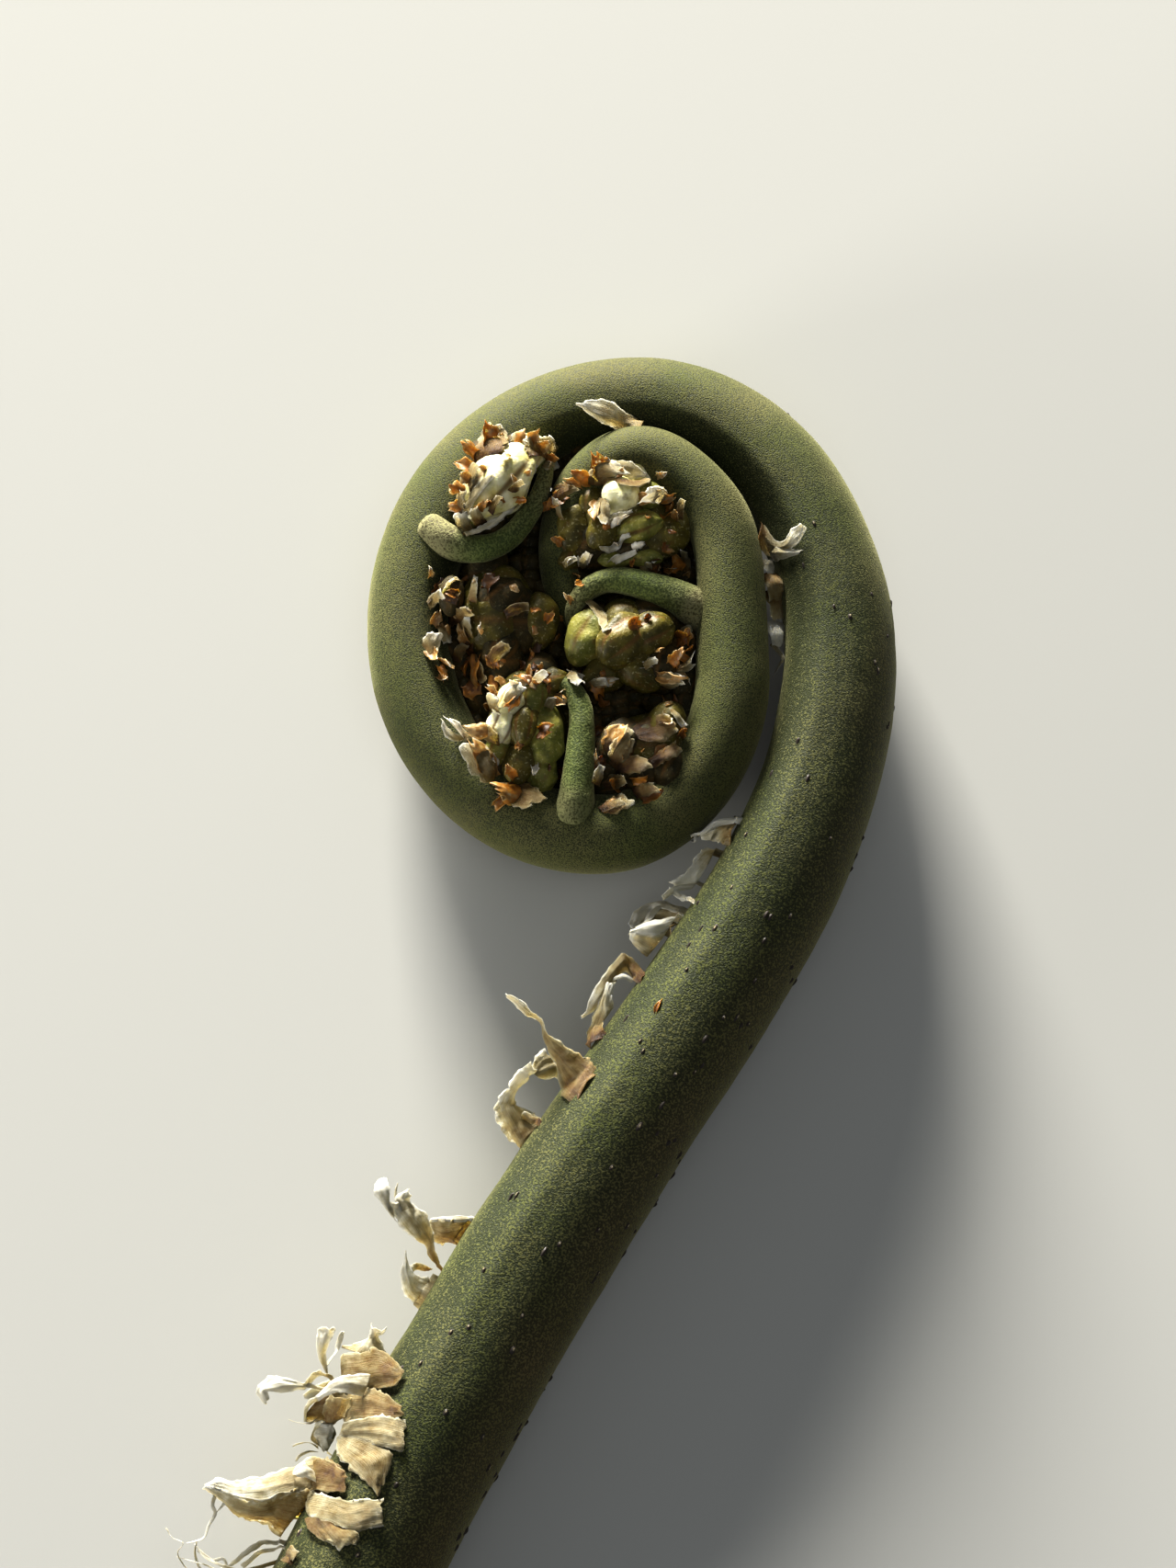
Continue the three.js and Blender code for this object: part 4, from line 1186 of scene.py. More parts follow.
# Scales of the stalk and coil, traced from the photograph: node, edges from root to tip, heights of the
# left edge at root, middle and tip and of the right edge, tones from 0, brown, to 1, white, and cup.
SHEETS = [
    # Tones past 1 on tufts a to c are painted light: these scales lie in the coil's shadow and are made paler
    # than their paper so that they look lit.
    ("scales_a", "806,888 783,892 766,905 752,910", "794,921 779,917 765,911 752,915", (3, 4, 2, 0, 1, 0),
     (0.35, 1.05), 0.3),
    ("scales_a", "806,887 783,890 766,903 752,909", "806,896 785,900 768,907 753,911", (4, 5, 3, 3, 4, 2),
     (0.95, 1.3), 0.3),
    ("scales_a", "785,923 768,923 757,932 748,949 741,953 730,958",
     "784,930 780,942 773,955 763,962 748,962 736,966", (2, 4, 4, 1, 2, 3), (0.5, 1.2), 0.25),
    ("scales_b", "762,957 744,963 731,966 720,977", "763,963 746,969 734,973 723,981", (2, 4, 4, 2, 3, 3),
     (0.8, 1.15), 0.2),
    ("scales_b", "757,979 745,973 736,968 728,964", "757,985 744,980 735,975 727,970", (2, 3, 4, 1, 2, 3),
     (0.75, 1.2), 0.2),
    ("scales_c", "746,986 719,980 702,984 689,995 684,1008", "742,993 722,989 709,992 699,1002 692,1012",
     (0, -2, 0, 1, -1, 1), (0.75, 1.1), 0.1),
    ("scales_c", "743,991 722,988 707,991 696,1001 688,1012", "741,999 728,1001 714,1004 701,1008 688,1014",
     (-1, -4, -1, 0, -3, 0), (0.5, 0.9), 0.2),
    ("scales_c", "712,985 706,994 700,1003 692,1010", "719,987 713,996 706,1004 697,1012",
     (0, 2, 4, 0, 3, 5), (1.1, 1.3), 0.1),
    ("scales_c", "743,993 728,998 712,1001 700,1005 686,1012",
     "737,1003 730,1010 716,1017 701,1017 685,1015", (3, 5, 5, 2, 5, 5), (1.05, 1.4), 0.2),
    ("scales_c", "738,1002 729,1010 715,1016 700,1016 686,1014",
     "730,1019 721,1033 708,1037 694,1027 685,1016", (3, 5, 5, 0, 0, 3), (0.4, 0.8), 0.35),
    ("scales_d", "703,1060 692,1047 679,1037 669,1045 660,1056 649,1072 641,1088 638,1101 629,1107",
     "695,1073 688,1064 680,1058 674,1062 670,1071 664,1084 652,1096 642,1103 631,1109", (2, 4, 3, 1, 3, 2),
     (0.1, 0.95), 0.25),
    ("scales_d", "642,1143 639,1128 642,1114 648,1100 653,1086 660,1071",
     "661,1127 668,1115 670,1100 667,1090 668,1078 671,1069", (1, 3, 4, 2, 4, 5), (0.1, 0.9), 0.3),
    ("scales_d", "669,1063 674,1060 681,1060 690,1067", "667,1068 674,1066 680,1066 688,1070",
     (4, 5, 4, 4, 5, 4), (0.9, 1.1), 0.1),
    ("scales_e",
     "625,1203 616,1192 609,1176 605,1160 598,1147 594,1134 593,1121 590,1114 583,1107 574,1107 "
     "564,1099 557,1091 551,1084",
     "652,1166 651,1159 639,1151 627,1145 611,1134 601,1127 596,1121 592,1113 586,1106 579,1101 "
     "568,1090 558,1084 550,1082", (6, 7, 9, 7, 9, 10), (0.22, 0.85), 0.14),
    ("scales_f", "564,1250 550,1235 541,1221 538,1208 544,1196 553,1180 565,1163 577,1157",
     "590,1218 580,1211 570,1206 561,1201 558,1190 561,1181 571,1175 580,1168", (2, 6, 5, 3, 3, 2),
     (0.4, 1.1), 0.3),
    ("scales_f", "576,1160 582,1149 591,1142 595,1143", "579,1169 591,1175 603,1174 611,1173",
     (3, 4, 3, 2, 2, 1), (0.7, 0.6), 0.2),
    ("scales_f", "587,1226 575,1222 566,1217", "590,1219 579,1213 571,1209", (2, 4, 4, 3, 5, 5),
     (0.15, 0.6), 0.2),
    ("scales_g", "516,1324 497,1326 481,1326 468,1327", "495,1354 488,1353 481,1354 473,1352",
     (4, 4, 3, 0, -1, 0), (0.18, 0.5), 0.3),
    ("scales_g", "515,1322 497,1323 481,1324 468,1326", "514,1328 497,1330 481,1329 469,1330",
     (4, 4, 3, 4, 4, 3), (0.8, 1.0), 0.2),
    ("scales_g", "469,1378 466,1366 463,1356 448,1346 436,1334 427,1321 419,1312",
     "477,1379 475,1366 471,1342 466,1324 456,1315 446,1309 436,1303", (2, 5, 7, 3, 6, 6), (0.2, 1.0),
     0.16),
    ("scales_g", "433,1330 420,1316 408,1300 407,1291 412,1282",
     "428,1319 424,1304 425,1292 423,1285 419,1281", (6, 7, 5, 7, 8, 7), (0.75, 1.15), 0.3),
    ("scales_g", "433,1318 429,1304 437,1297 444,1294", "452,1315 447,1309 447,1303 449,1299",
     (6, 7, 7, 6, 6, 8), (0.7, 1.0), 0.3),
    ("scales_h", "449,1423 441,1410 437,1397 436,1383 439,1374 441,1361",
     "474,1386 463,1390 454,1387 446,1380 443,1372 442,1361", (1, 5, 5, 3, 4, 5), (0.6, 1.15), 0.28),
    ("scales_h", "445,1376 454,1374 463,1376 471,1381", "445,1380 454,1382 463,1384 470,1384",
     (3, 2, 1, 2, 1, 0), (0.9, 0.2), 0.1),
    ("scales_i", "359,1504 340,1506 331,1505 314,1500 296,1497 284,1504 278,1513 281,1521 289,1531",
     "355,1508 340,1510 331,1512 314,1515 297,1515 292,1514 291,1514 293,1521 290,1531", (4, 6, 5, 3, 6, 6),
     (0.75, 1.1), 0.2),
    ("scales_i", "331,1506 338,1495 348,1492 358,1496 366,1502",
     "335,1507 342,1501 349,1497 357,1500 364,1506", (5, 7, 4, 4, 5, 3), (0.85, 0.5), 0.1),
    ("scales_i", "350,1490 347,1478 345,1463 345,1448 350,1443",
     "353,1489 355,1474 359,1459 365,1446 363,1443", (3, 5, 7, 3, 6, 7), (0.7, 1.1), 0.3),
    ("scales_i", "360,1485 364,1474 365,1462 368,1453 373,1448",
     "364,1484 368,1469 370,1463 373,1456 375,1451", (2, 3, 5, 3, 4, 6), (0.7, 1.1), 0.2),
    ("scales_i", "389,1471 397,1458 402,1450 402,1441", "411,1469 413,1455 417,1452 421,1446",
     (3, 4, 5, 4, 5, 6), (0.55, 0.9), 0.25),
    ("scales_i", "383,1498 370,1503 357,1508 344,1519 338,1522 332,1529 330,1537 331,1545",
     "386,1510 374,1512 360,1517 347,1523 341,1525 335,1531 333,1538 333,1545", (6, 6, 4, 5, 5, 3),
     (0.7, 1.1), 0.2),
    ("scales_i", "351,1518 362,1514 374,1516 384,1522", "352,1545 362,1548 374,1543 383,1531",
     (3, 5, 6, 2, 4, 5), (0.25, 0.55), 0.3),
    ("scales_i", "343,1552 352,1547 362,1550 364,1560", "345,1575 353,1580 360,1575 363,1566",
     (2, 4, 4, 1, 2, 3), (0.7, 1.05), 0.35),
    ("scales_i_flaps", "356,1491 370,1478 391,1471 412,1468 427,1478 440,1492",
     "361,1528 379,1516 400,1517 421,1513 434,1506 439,1499", (3, 7, 10, 3, 7, 10), (0.62, 0.2), 0.12),
    ("scales_i_flaps", "368,1514 386,1509 404,1510 422,1519 437,1530",
     "366,1552 384,1550 404,1549 421,1546 437,1541", (5, 8, 11, 5, 8, 11), (0.56, 0.2), 0.12),
    ("scales_i_flaps", "357,1556 374,1548 394,1543 418,1540 440,1546",
     "362,1570 378,1567 396,1570 416,1576 439,1579", (6, 10, 12, 5, 9, 12), (0.7, 0.46), 0.1),
    ("scales_i_flaps", "358,1568 371,1584 389,1606 411,1625",
     "370,1561 394,1565 424,1577 428,1590 414,1622", (5, 9, 11, 6, 10, 11), (0.66, 0.34), 0.12),
    ("scales_i_flaps", "391,1493 373,1497 358,1505 345,1518", "388,1515 373,1515 358,1518 348,1524",
     (10, 9, 7, 10, 9, 7), (0.75, 1.0), 0.12),
    ("scales_i", "351,1552 351,1534 358,1519", "362,1552 377,1539 382,1522", (2, 5, 7, 3, 6, 8),
     (0.25, 0.4), 0.14),
    ("scales_j", "378,1600 361,1589 343,1586 319,1595 295,1602 271,1609 250,1612 237,1608 221,1617",
     "375,1622 358,1622 331,1621 307,1625 286,1633 265,1631 240,1622 222,1619", (4, 6, 7, 5, 8, 7.5),
     (0.24, 0.95), 0.12),
    ("scales_j", "374,1620 358,1621 331,1621 307,1625 286,1633 265,1631 240,1622 222,1618",
     "340,1652 331,1671 314,1679 299,1669 290,1659 271,1656 254,1646 240,1634 222,1620",
     (5, 8, 7.5, 1, 3, 6), (0.12, 0.75), 0.14),
    ("scales_j", "345,1630 352,1610 366,1596", "352,1640 371,1624 380,1606", (3, 7, 7, 4, 8, 8), (0.2, 0.3),
     0.2),
    ("scales_j", "340,1598 330,1592 322,1596 318,1604", "344,1612 336,1610 329,1608 320,1607",
     (7, 8, 7, 8, 8.4, 8), (0.7, 0.95), 0.2),
    ("scales_j_flaps", "322,1598 343,1588 362,1591 378,1606", "318,1624 343,1624 361,1626 377,1624",
     (4, 8, 11, 4, 8, 11), (0.5, 0.12), 0.1),
    ("scales_j_flaps", "331,1622 355,1628 379,1633 397,1630 418,1631",
     "338,1655 361,1658 382,1667 397,1664 416,1660", (5, 9, 12, 4, 8, 12), (0.66, 0.5), 0.12),
    ("scales_j_flaps", "343,1655 349,1667 358,1679 370,1686", "367,1660 385,1666 392,1674 386,1680",
     (3, 6, 9, 4, 7, 9), (0.3, 0.5), 0.16),
    ("scales_j_flaps", "336,1653 338,1664 346,1674 356,1680", "350,1652 356,1662 362,1670 366,1678",
     (2, 5, 7, 3, 6, 8), (0.2, 0.45), 0.16),
    ("scales_k", "308,1677 289,1676 274,1682 256,1697 250,1702",
     "310,1681 290,1681 277,1687 260,1700 253,1704", (2, 5, 4, 2, 4, 4), (0.8, 1.0), 0.2),
    ("scales_k", "311,1682 285,1687 268,1699 262,1704", "312,1686 287,1691 272,1702 265,1707",
     (1, 4, 4, 1, 3, 3), (0.75, 0.95), 0.2),
    ("scales_k", "320,1692 334,1692 348,1700", "318,1704 330,1710 344,1712", (4, 6, 6, 3, 5, 6), (0.2, 0.4),
     0.2),
    ("scales_gap", "822,568 835,574 844,588 853,588 861,576 869,571",
     "824,594 837,606 850,600 862,597 871,588 876,577", (2, 6, 9, 1, 5, 8), (0.16, 0.95), 0.2),
    ("scales_gap", "830,593 843,594 856,597 876,598", "832,609 845,611 857,607 867,603", (2, 6, 7, 0, 4, 6),
     (0.5, 0.9), 0.15),
    ("scales_gap", "831,612 834,622 837,634", "841,610 843,622 843,634", (1, 3, 2, 0, 2, 2), (0.75, 0.9),
     0.2),
    ("scales_gap", "832,627 835,637 837,652", "846,625 853,636 850,655", (2, 4, 3, 1, 2, 1), (0.24, 0.5),
     0.2),
    ("scales_gap", "836,645 838,658 839,673", "850,645 851,658 852,671", (1, 3, 3, 0, 1, 1), (0.22, 0.55),
     0.2),
    ("scales_gap", "838,680 838,690 840,701", "852,680 854,690 853,701", (1, 3, 2, 0, 2, 1), (0.95, 1.1),
     0.2),
    ("scales_arch", "701,462 683,449 664,436 646,434 628,438", "696,466 676,468 657,461 640,450 629,440",
     (5, 8, 9, 4, 7.2, 8.8), (0.4, 0.9), 0.2),
]
THREADS = [
    ("scales_gap", "840,700 847,708 852,716 847,726 841,737", (1, 2, 0), 0.8, (0.6, 0.8)),
    ("scales_i", "352,1549 346,1542 338,1549 324,1548 314,1545", (2, 4, 5), 0.55, (0.7, 1.0)),
    ("scales_i", "346,1575 336,1570 325,1571 318,1574", (2, 4, 4), 0.7, (0.7, 0.9)),
    ("scales_i", "345,1580 335,1580 326,1584 322,1590", (2, 4, 3), 0.7, (0.7, 0.95)),
    ("scales_g", "430,1303 431,1294 433,1287", (6, 7, 7), 0.4, (0.8, 1.0)),
    ("scales_j", "234,1627 231,1638 234,1647 227,1660 222,1673 213,1677 203,1679", (6, 6, 5, 4), 0.55,
     (0.9, 1.0)),
    ("scales_j", "245,1635 237,1644 232,1650", (6, 5), 0.5, (0.9, 1.0)),
    ("scales_k", "181,1663 187,1673 199,1679 193,1690 199,1702 206,1709", (4, 5, 3), 0.45, (0.8, 1.0)),
    ("scales_k", "214,1677 212,1690 216,1704 224,1712", (4, 4, 3), 0.55, (0.8, 1.0)),
    ("scales_k", "216,1687 230,1698 242,1696 246,1704 238,1708", (4, 5, 4), 0.6, (0.8, 1.0)),
    ("scales_k", "316,1696 300,1700 280,1706 262,1709 240,1703 222,1694 212,1680", (2, 4, 5, 4), 0.6,
     (0.5, 1.0)),
    ("scales_k", "316,1700 296,1708 270,1716 246,1714 226,1704 206,1698 192,1694", (1, 3, 4, 4), 0.6,
     (0.5, 1.0)),
]

# Blades of the tufts that the photograph doesn't show, as in the solids' source: place along the stalk,
# around, headings at root and tip, length, width, rise, roll and whether it is broadest at the root.
BLADES = [
    ("scales_l", 164.5, 14, 156, 186, 14, 5.4, 6, 64, 0),
    ("scales_l", 167, -6, 180, 226, 11, 4.2, -4, 50, 0),
    ("scales_m", 124, -44, -60, -36, 8, 6, -14, 96, 0),
    ("scales_m", 129, -24, 168, 200, 11, 4, -8, 112, 0),
    ("scales_n", 143, -42, -30, -50, 8.5, 5.4, -14, 96, 0),
    ("scales_n", 148, -22, 158, 190, 13, 4.6, -6, 114, 0),
    ("scales_k", 157, 28, -28, -60, 8, 4.6, 16, 84, 0),
    ("scales_k", 158, 0, 190, 252, 12, 2.2, 0, 50, 0),
]


def place_below(distance):
    return float(limb.place(limb.along(2.0) - distance))


BLADE_GRID = (22, 9)


def blade(soup, row, tones, seed):
    _, down, around, start, end, length, width, rise, roll, fin = row
    root = limb.surface(np.array(place_below(down)), np.array(math.radians(around)), -0.3)
    t = np.linspace(0, 1, BLADE_GRID[0])
    flat = heading(start + (end - start) * t)
    lift = np.radians(rise * (1 - 0.8 * t))[:, None]
    ahead = flat * np.cos(lift) + UP * np.sin(lift)
    centre = root + np.concatenate([[np.zeros(3)], np.cumsum(ahead[:-1] * length / (len(t) - 1), 0)])
    side = np.stack([-flat[:, 1], flat[:, 0], 0 * t], 1)
    turned = math.radians(roll)
    across = np.cross(ahead, side) * math.cos(turned) + side * math.sin(turned)
    face = np.cross(ahead, across)
    broad = 0.26 + 0.74 * (1 - t) ** 1.7 if fin else 0.62 + 1.5 * t - 1.95 * t * t
    half = 0.5 * width * np.maximum(broad, 0.08)[:, None, None]
    x = np.linspace(-1, 1, BLADE_GRID[1])[None, :, None]
    points = centre[:, None] + across[:, None] * half * x + face[:, None] * half * (0.35 * (x * x - 0.6))
    along = t[:, None, None]
    wave = noise(points, 1.7, 500 + seed)[..., None] * 0.5 * along
    torn = noise(points, 0.8, 530 + seed)[..., None] * np.abs(x) ** 3 * np.sign(x) * 0.1 * half * along
    leaf(soup, points + face[:, None] * wave + across[:, None] * torn, tones)


# How scales lie on the coil, in the coil's gap and as flaps over their tuft: how much they ruffle, how far
# above what they cover they keep, or None, and how far above the stalk's skin. PLAIN is for all others.
WAYS = {"arch": (0.12, None, 0.1), "gap": (0.2, 0.5, 0.0), "flaps": (0.2, 0.5, 0.45)}
PLAIN = (0.3, None, 0.1)
SHEET_GRID = (40, 17)
SHEET_TORN = 0.07  # how deep the edges are torn, as a share of the width
BLADE_TONES = [(0.1, 0.8), (0.2, 1.05)]
tufts = {name: Soup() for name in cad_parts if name.startswith("scales_")}
for n, (name, left, right, heights, tones, cup) in enumerate(SHEETS):
    ruffle, over, clear = WAYS.get(name.split("_")[-1], PLAIN)
    edges = traced(left, heights[:3], over), traced(right, heights[3:], over)
    edges = [rooted(edge, text, tufts[name]) for edge, text in zip(edges, (left, right))]
    sheet_between(tufts[name], *edges, tones, cup, ruffle, n, SHEET_GRID, SHEET_TORN, SHEET_THICK, clear)
for n, (name, text, heights, width, tones) in enumerate(THREADS):
    thread(tufts[name], text, heights, width, tones, n)
for n, row in enumerate(BLADES):
    blade(tufts[row[0]], row, BLADE_TONES[n % 2], n)

# Larger scales in the eye, traced from the photograph: edges from root to tip, how far the root, middle and
# tip stand off what is behind them, tones and cup.
PETALS = [
    ("656,815 658,797 668,784", "668,819 683,812 690,797", (0.2, 1.2, 1.6), (0.12, 0.5), 0.2),
    ("688,792 705,778 728,774", "694,806 715,808 738,797", (0.2, 1.0, 1.4), (0.06, 0.36), 0.2),
    ("668,832 686,822 702,824", "672,842 690,842 708,836", (0.2, 1.0, 1.6), (0.08, 0.4), 0.25),
    ("655,850 668,842 680,844", "660,860 672,858 684,852", (0.2, 1.0, 1.6), (0.15, 0.6), 0.3),
    ("706,826 722,814 736,806", "712,836 728,828 742,818", (0.2, 1.0, 1.4), (0.05, 0.34), 0.25),
    ("650,878 664,870 676,868", "656,884 668,880 680,876", (0.2, 1.0, 1.6), (0.1, 0.5), 0.3),
    ("637,655 648,668 657,690", "642,652 656,662 665,684", (0.1, 0.3, 0.2), (0.5, 0.72), 0.2),
    ("488,672 498,662 512,660", "490,684 502,676 514,670", (0.2, 1.0, 1.4), (0.08, 0.4), 0.3),
    ("530,716 536,704 548,696", "540,724 548,714 558,706", (0.2, 1.0, 1.4), (0.1, 0.45), 0.3),
    ("480,652 484,638 494,628", "496,658 501,645 504,634", (0.3, 0.8, 1.2), (0.08, 0.42), 0.3),
    ("548,664 560,656 574,656", "552,674 564,668 576,664", (0.2, 0.8, 1.2), (0.06, 0.36), 0.3),
    ("512,508 516,490 523,474 532,459", "548,494 553,485 551,470 543,460", (0.2, 1.2, 2.4), (0.12, 0.62),
     0.3),
    ("500,530 504,515 511,503", "513,535 516,520 522,508", (0.2, 1.0, 1.8), (0.2, 0.6), 0.3),
    ("574,497 572,484 576,474 583,473", "598,503 606,497 606,484 598,473", (0.2, 1.2, 2.0), (0.15, 0.75),
     0.35),
    ("500,574 503,556 510,540 521,525 534,514", "509,574 513,556 520,541 531,527 542,517", (0.2, 0.4, 0.2),
     (0.5, 0.8), 0.3),
    ("590,508 598,510 603,512", "596,498 603,500 607,505", (0.3, 0.9, 1.4), (0.6, 1.0), 0.3),
    ("555,480 558,471 566,468", "567,481 571,474 570,468", (0.2, 0.9, 1.5), (0.5, 1.0), 0.3),
    ("499,556 497,545 500,532", "508,558 507,546 509,533", (0.2, 1.0, 1.6), (0.15, 0.6), 0.4),
    ("505,582 497,570 494,560", "518,577 511,566 507,556", (0.2, 0.8, 1.2), (0.35, 0.95), 0.3),
    ("517,574 512,562 512,552", "530,568 524,558 520,549", (0.1, 0.7, 1.2), (0.1, 0.7), 0.3),
    ("531,556 535,546 541,538", "537,560 541,550 547,541", (0.1, 0.7, 1.2), (0.1, 0.7), 0.5),
    ("552,533 558,526 566,520", "562,536 567,529 574,525", (0.1, 0.7, 1.2), (0.1, 0.6), 0.5),
    ("640,527 640,514 650,503 662,499", "654,528 664,520 676,518 688,514", (0.2, 0.9, 1.0), (0.25, 0.75),
     0.2),
    ("666,503 680,500 692,505 703,515", "664,512 676,517 688,520 701,519", (0.4, 0.9, 0.7), (0.62, 0.86),
     0.2),
    ("655,521 672,520 690,523 708,520", "656,528 674,526 690,529 706,527", (0.2, 0.5, 0.8), (0.25, 0.4),
     0.3),
    ("731,548 727,536 716,529 704,531", "722,549 716,547 706,546 695,548", (0.2, 1.8, 2.6), (0.25, 1.05),
     0.35),
    ("652,541 648,552 650,563 655,571", "662,545 665,555 664,564 659,571", (0.3, 1.2, 1.8), (0.5, 0.85),
     0.3),
    ("652,595 662,594 672,590 677,582 686,580", "655,599 664,601 674,597 679,589 686,584", (0.3, 1.0, 0.8),
     (0.9, 1.15), 0.3),
    ("660,612 668,605 677,602 690,598", "664,618 672,613 682,609 692,603", (0.3, 0.9, 1.2), (0.8, 1.1),
     0.4),
    ("664,560 672,557 682,556 690,553", "662,571 670,567 678,562 689,557", (0.3, 0.9, 1.2), (0.75, 1.1),
     0.4),
    ("600,535 606,528 616,524 626,527", "606,556 612,545 620,538 630,533", (0.2, 1.2, 1.6), (0.0, 0.45),
     0.4),
    ("606,560 602,548 601,540", "614,566 610,552 607,543", (0.3, 1.4, 2.0), (0.3, 0.9), 0.3),
    ("744,622 741,610 742,598", "753,624 752,612 747,600", (0.2, 1.0, 1.8), (0.25, 0.75), 0.4),
    ("735,560 736,549 741,541", "743,566 745,555 746,545", (0.2, 0.8, 1.2), (0.15, 0.7), 0.4),
    ("697,618 704,611 714,612", "700,624 708,620 717,619", (0.2, 0.7, 1.0), (0.3, 0.8), 0.4),
    ("612,612 618,606 626,604", "615,618 622,613 629,610", (0.3, 1.2, 1.8), (0.5, 1.1), 0.4),
    ("630,616 632,606 637,600", "637,618 639,609 642,603", (0.3, 1.2, 1.8), (0.5, 1.05), 0.4),
    ("742,722 750,716 757,708", "736,732 747,731 755,726", (0.2, 1.2, 2.0), (0.3, 0.9), 0.35),
    ("715,735 728,731 741,733", "722,747 732,748 742,744", (0.2, 1.2, 2.0), (0.3, 0.95), 0.35),
    ("636,744 648,738 662,738", "640,752 650,747 664,746", (0.3, 1.2, 1.8), (0.35, 1.0), 0.3),
    ("728,774 735,781 742,790", "733,771 741,778 748,789", (0.3, 1.2, 1.6), (0.5, 1.05), 0.4),
    ("700,722 706,716 714,714", "703,729 710,725 717,722", (0.2, 1.0, 1.4), (0.4, 1.0), 0.4),
    ("736,694 742,684 748,680", "745,698 751,690 754,683", (0.2, 1.0, 1.6), (0.15, 0.7), 0.4),
    ("662,830 664,815 672,803 684,797", "670,836 680,827 688,815 690,803", (0.2, 1.0, 1.4), (0.2, 0.55),
     0.3),
    ("644,852 646,840 652,832", "652,856 655,845 658,836", (0.3, 1.0, 1.6), (0.3, 0.95), 0.4),
    ("657,873 668,866 682,864", "664,886 676,882 690,876", (0.2, 1.2, 1.8), (0.1, 0.6), 0.3),
    ("688,858 700,852 712,852", "694,870 706,866 718,862", (0.2, 1.0, 1.6), (0.05, 0.5), 0.3),
    ("536,853 522,848 508,832 498,812", "541,838 536,822 522,810 500,808", (0.3, 1.6, 2.2), (0.3, 0.8),
     0.2),
    ("507,801 496,798 486,790 480,780", "503,806 492,806 483,800 480,790", (0.3, 1.6, 2.4), (0.45, 1.1),
     0.4),
    ("544,812 528,806 517,800 510,797", "543,800 533,790 522,787 511,795", (0.2, 1.2, 2.0), (0.25, 0.9),
     0.3),
    ("541,866 552,874 566,880 580,878", "556,850 572,852 586,858 594,868", (0.2, 1.4, 2.2), (0.1, 0.45),
     0.15),
    ("592,768 596,760 604,757", "600,772 605,766 610,760", (0.3, 1.4, 2.0), (0.5, 1.15), 0.4),
    ("616,735 622,742 630,748", "622,731 630,737 636,744", (0.3, 1.2, 1.8), (0.5, 1.1), 0.4),
    ("548,762 553,750 562,742", "557,768 563,758 572,750", (0.3, 1.2, 1.6), (0.45, 1.1), 0.4),
    ("575,748 580,736 588,730", "583,752 590,742 596,734", (0.3, 1.6, 2.2), (0.2, 0.9), 0.4),
    ("536,775 532,764 536,755", "545,777 542,766 543,757", (0.2, 1.0, 1.6), (0.2, 0.8), 0.4),
    ("458,700 463,690 472,686", "470,716 479,706 481,694", (0.3, 1.2, 1.6), (0.45, 1.05), 0.35),
    ("474,682 478,690 484,702", "484,676 490,686 493,699", (0.3, 1.0, 1.6), (0.3, 0.85), 0.35),
    ("464,655 470,646 480,640", "468,664 476,657 484,650", (0.3, 1.0, 1.8), (0.4, 1.0), 0.35),
    ("502,690 500,678 505,668", "514,694 514,682 512,670", (0.3, 1.0, 1.6), (0.25, 0.9), 0.4),
    ("510,654 511,640 515,626", "518,656 519,641 520,627", (0.4, 1.2, 1.6), (0.3, 1.0), 0.4),
    ("507,716 514,728 522,744", "518,711 525,724 531,741", (0.3, 1.0, 1.0), (0.25, 0.35), 0.2),
    ("492,716 496,704 503,699", "502,722 506,712 510,704", (0.2, 1.0, 1.6), (0.1, 0.6), 0.4),
]


PETAL_GRID = (22, 13)
PETAL_TONES = (0.8, 0.86)  # what their tones are toned down by at root and tip
PETAL_CUP = 0.4
PETAL_RUFFLE = 0.2
PETAL_TORN = 0.12
FIRST_HEIGHT = 6.0  # where the first pixel of an edge shows nothing behind it


def laid_edge(text, lifts):
    """An edge that stands off what the photograph shows behind each of its pixels."""
    spots, line, last = pixels(text), [], FIRST_HEIGHT
    for (px, py), lift in zip(spots, along_steps(lifts, len(spots))):
        hit = seen(px, py)
        if hit is not None and hit[0][2] > 0:
            last = float(hit[0][2])
        line.append(pixel_point(px, py, last + lift))
    return np.array(line)


petals = Soup()
for n, (left, right, lifts, tones, cup) in enumerate(PETALS):
    tones = np.multiply(tones, PETAL_TONES)
    edges = laid_edge(left, lifts), laid_edge(right, lifts)
    form = (tones, PETAL_CUP * cup, PETAL_RUFFLE, 600 + n, PETAL_GRID, PETAL_TORN, PETAL_THICK)
    sheet_between(petals, *edges, *form)
petals_lower = Soup()
points, faces, _, maps = petals.all()
petals_lower.add(to_lower(points), faces, 0, maps)
# A frayed skin of paper along a stem: its edges with their heights, then tones, cup, ruffle, seed, grid,
# how deep it is torn and how thick it is.
FRAY_EDGES = [
    ("505,579 524,572 542,561 554,550 561,541 569,529 580,504", (8.4, 9.0, 8.6)),
    ("508,584 527,578 546,567 558,555 566,545 575,532 587,505", (8.2, 8.8, 8.4)),
]
FRAY_FORM = ((0.75, 1.1), 0.2, 0.3, 900, (60, 7), 0.3, SHEET_THICK)
frays = Soup()
sheet_between(frays, *(traced(*edge) for edge in FRAY_EDGES), *FRAY_FORM)
for name, soup in (("eye_petals", petals), ("eye_petals_lower", petals_lower), ("stem_frays", frays)):
    settle(mesh_object(name, soup, [PAPER]))

for name, soup in tufts.items():
    if soup.count:
        settle(mesh_object(name + "_leaves", soup, [PAPER]), [name])


# Small flakes in the eye of the coil.


FLAKE_GRID = (9, 8)


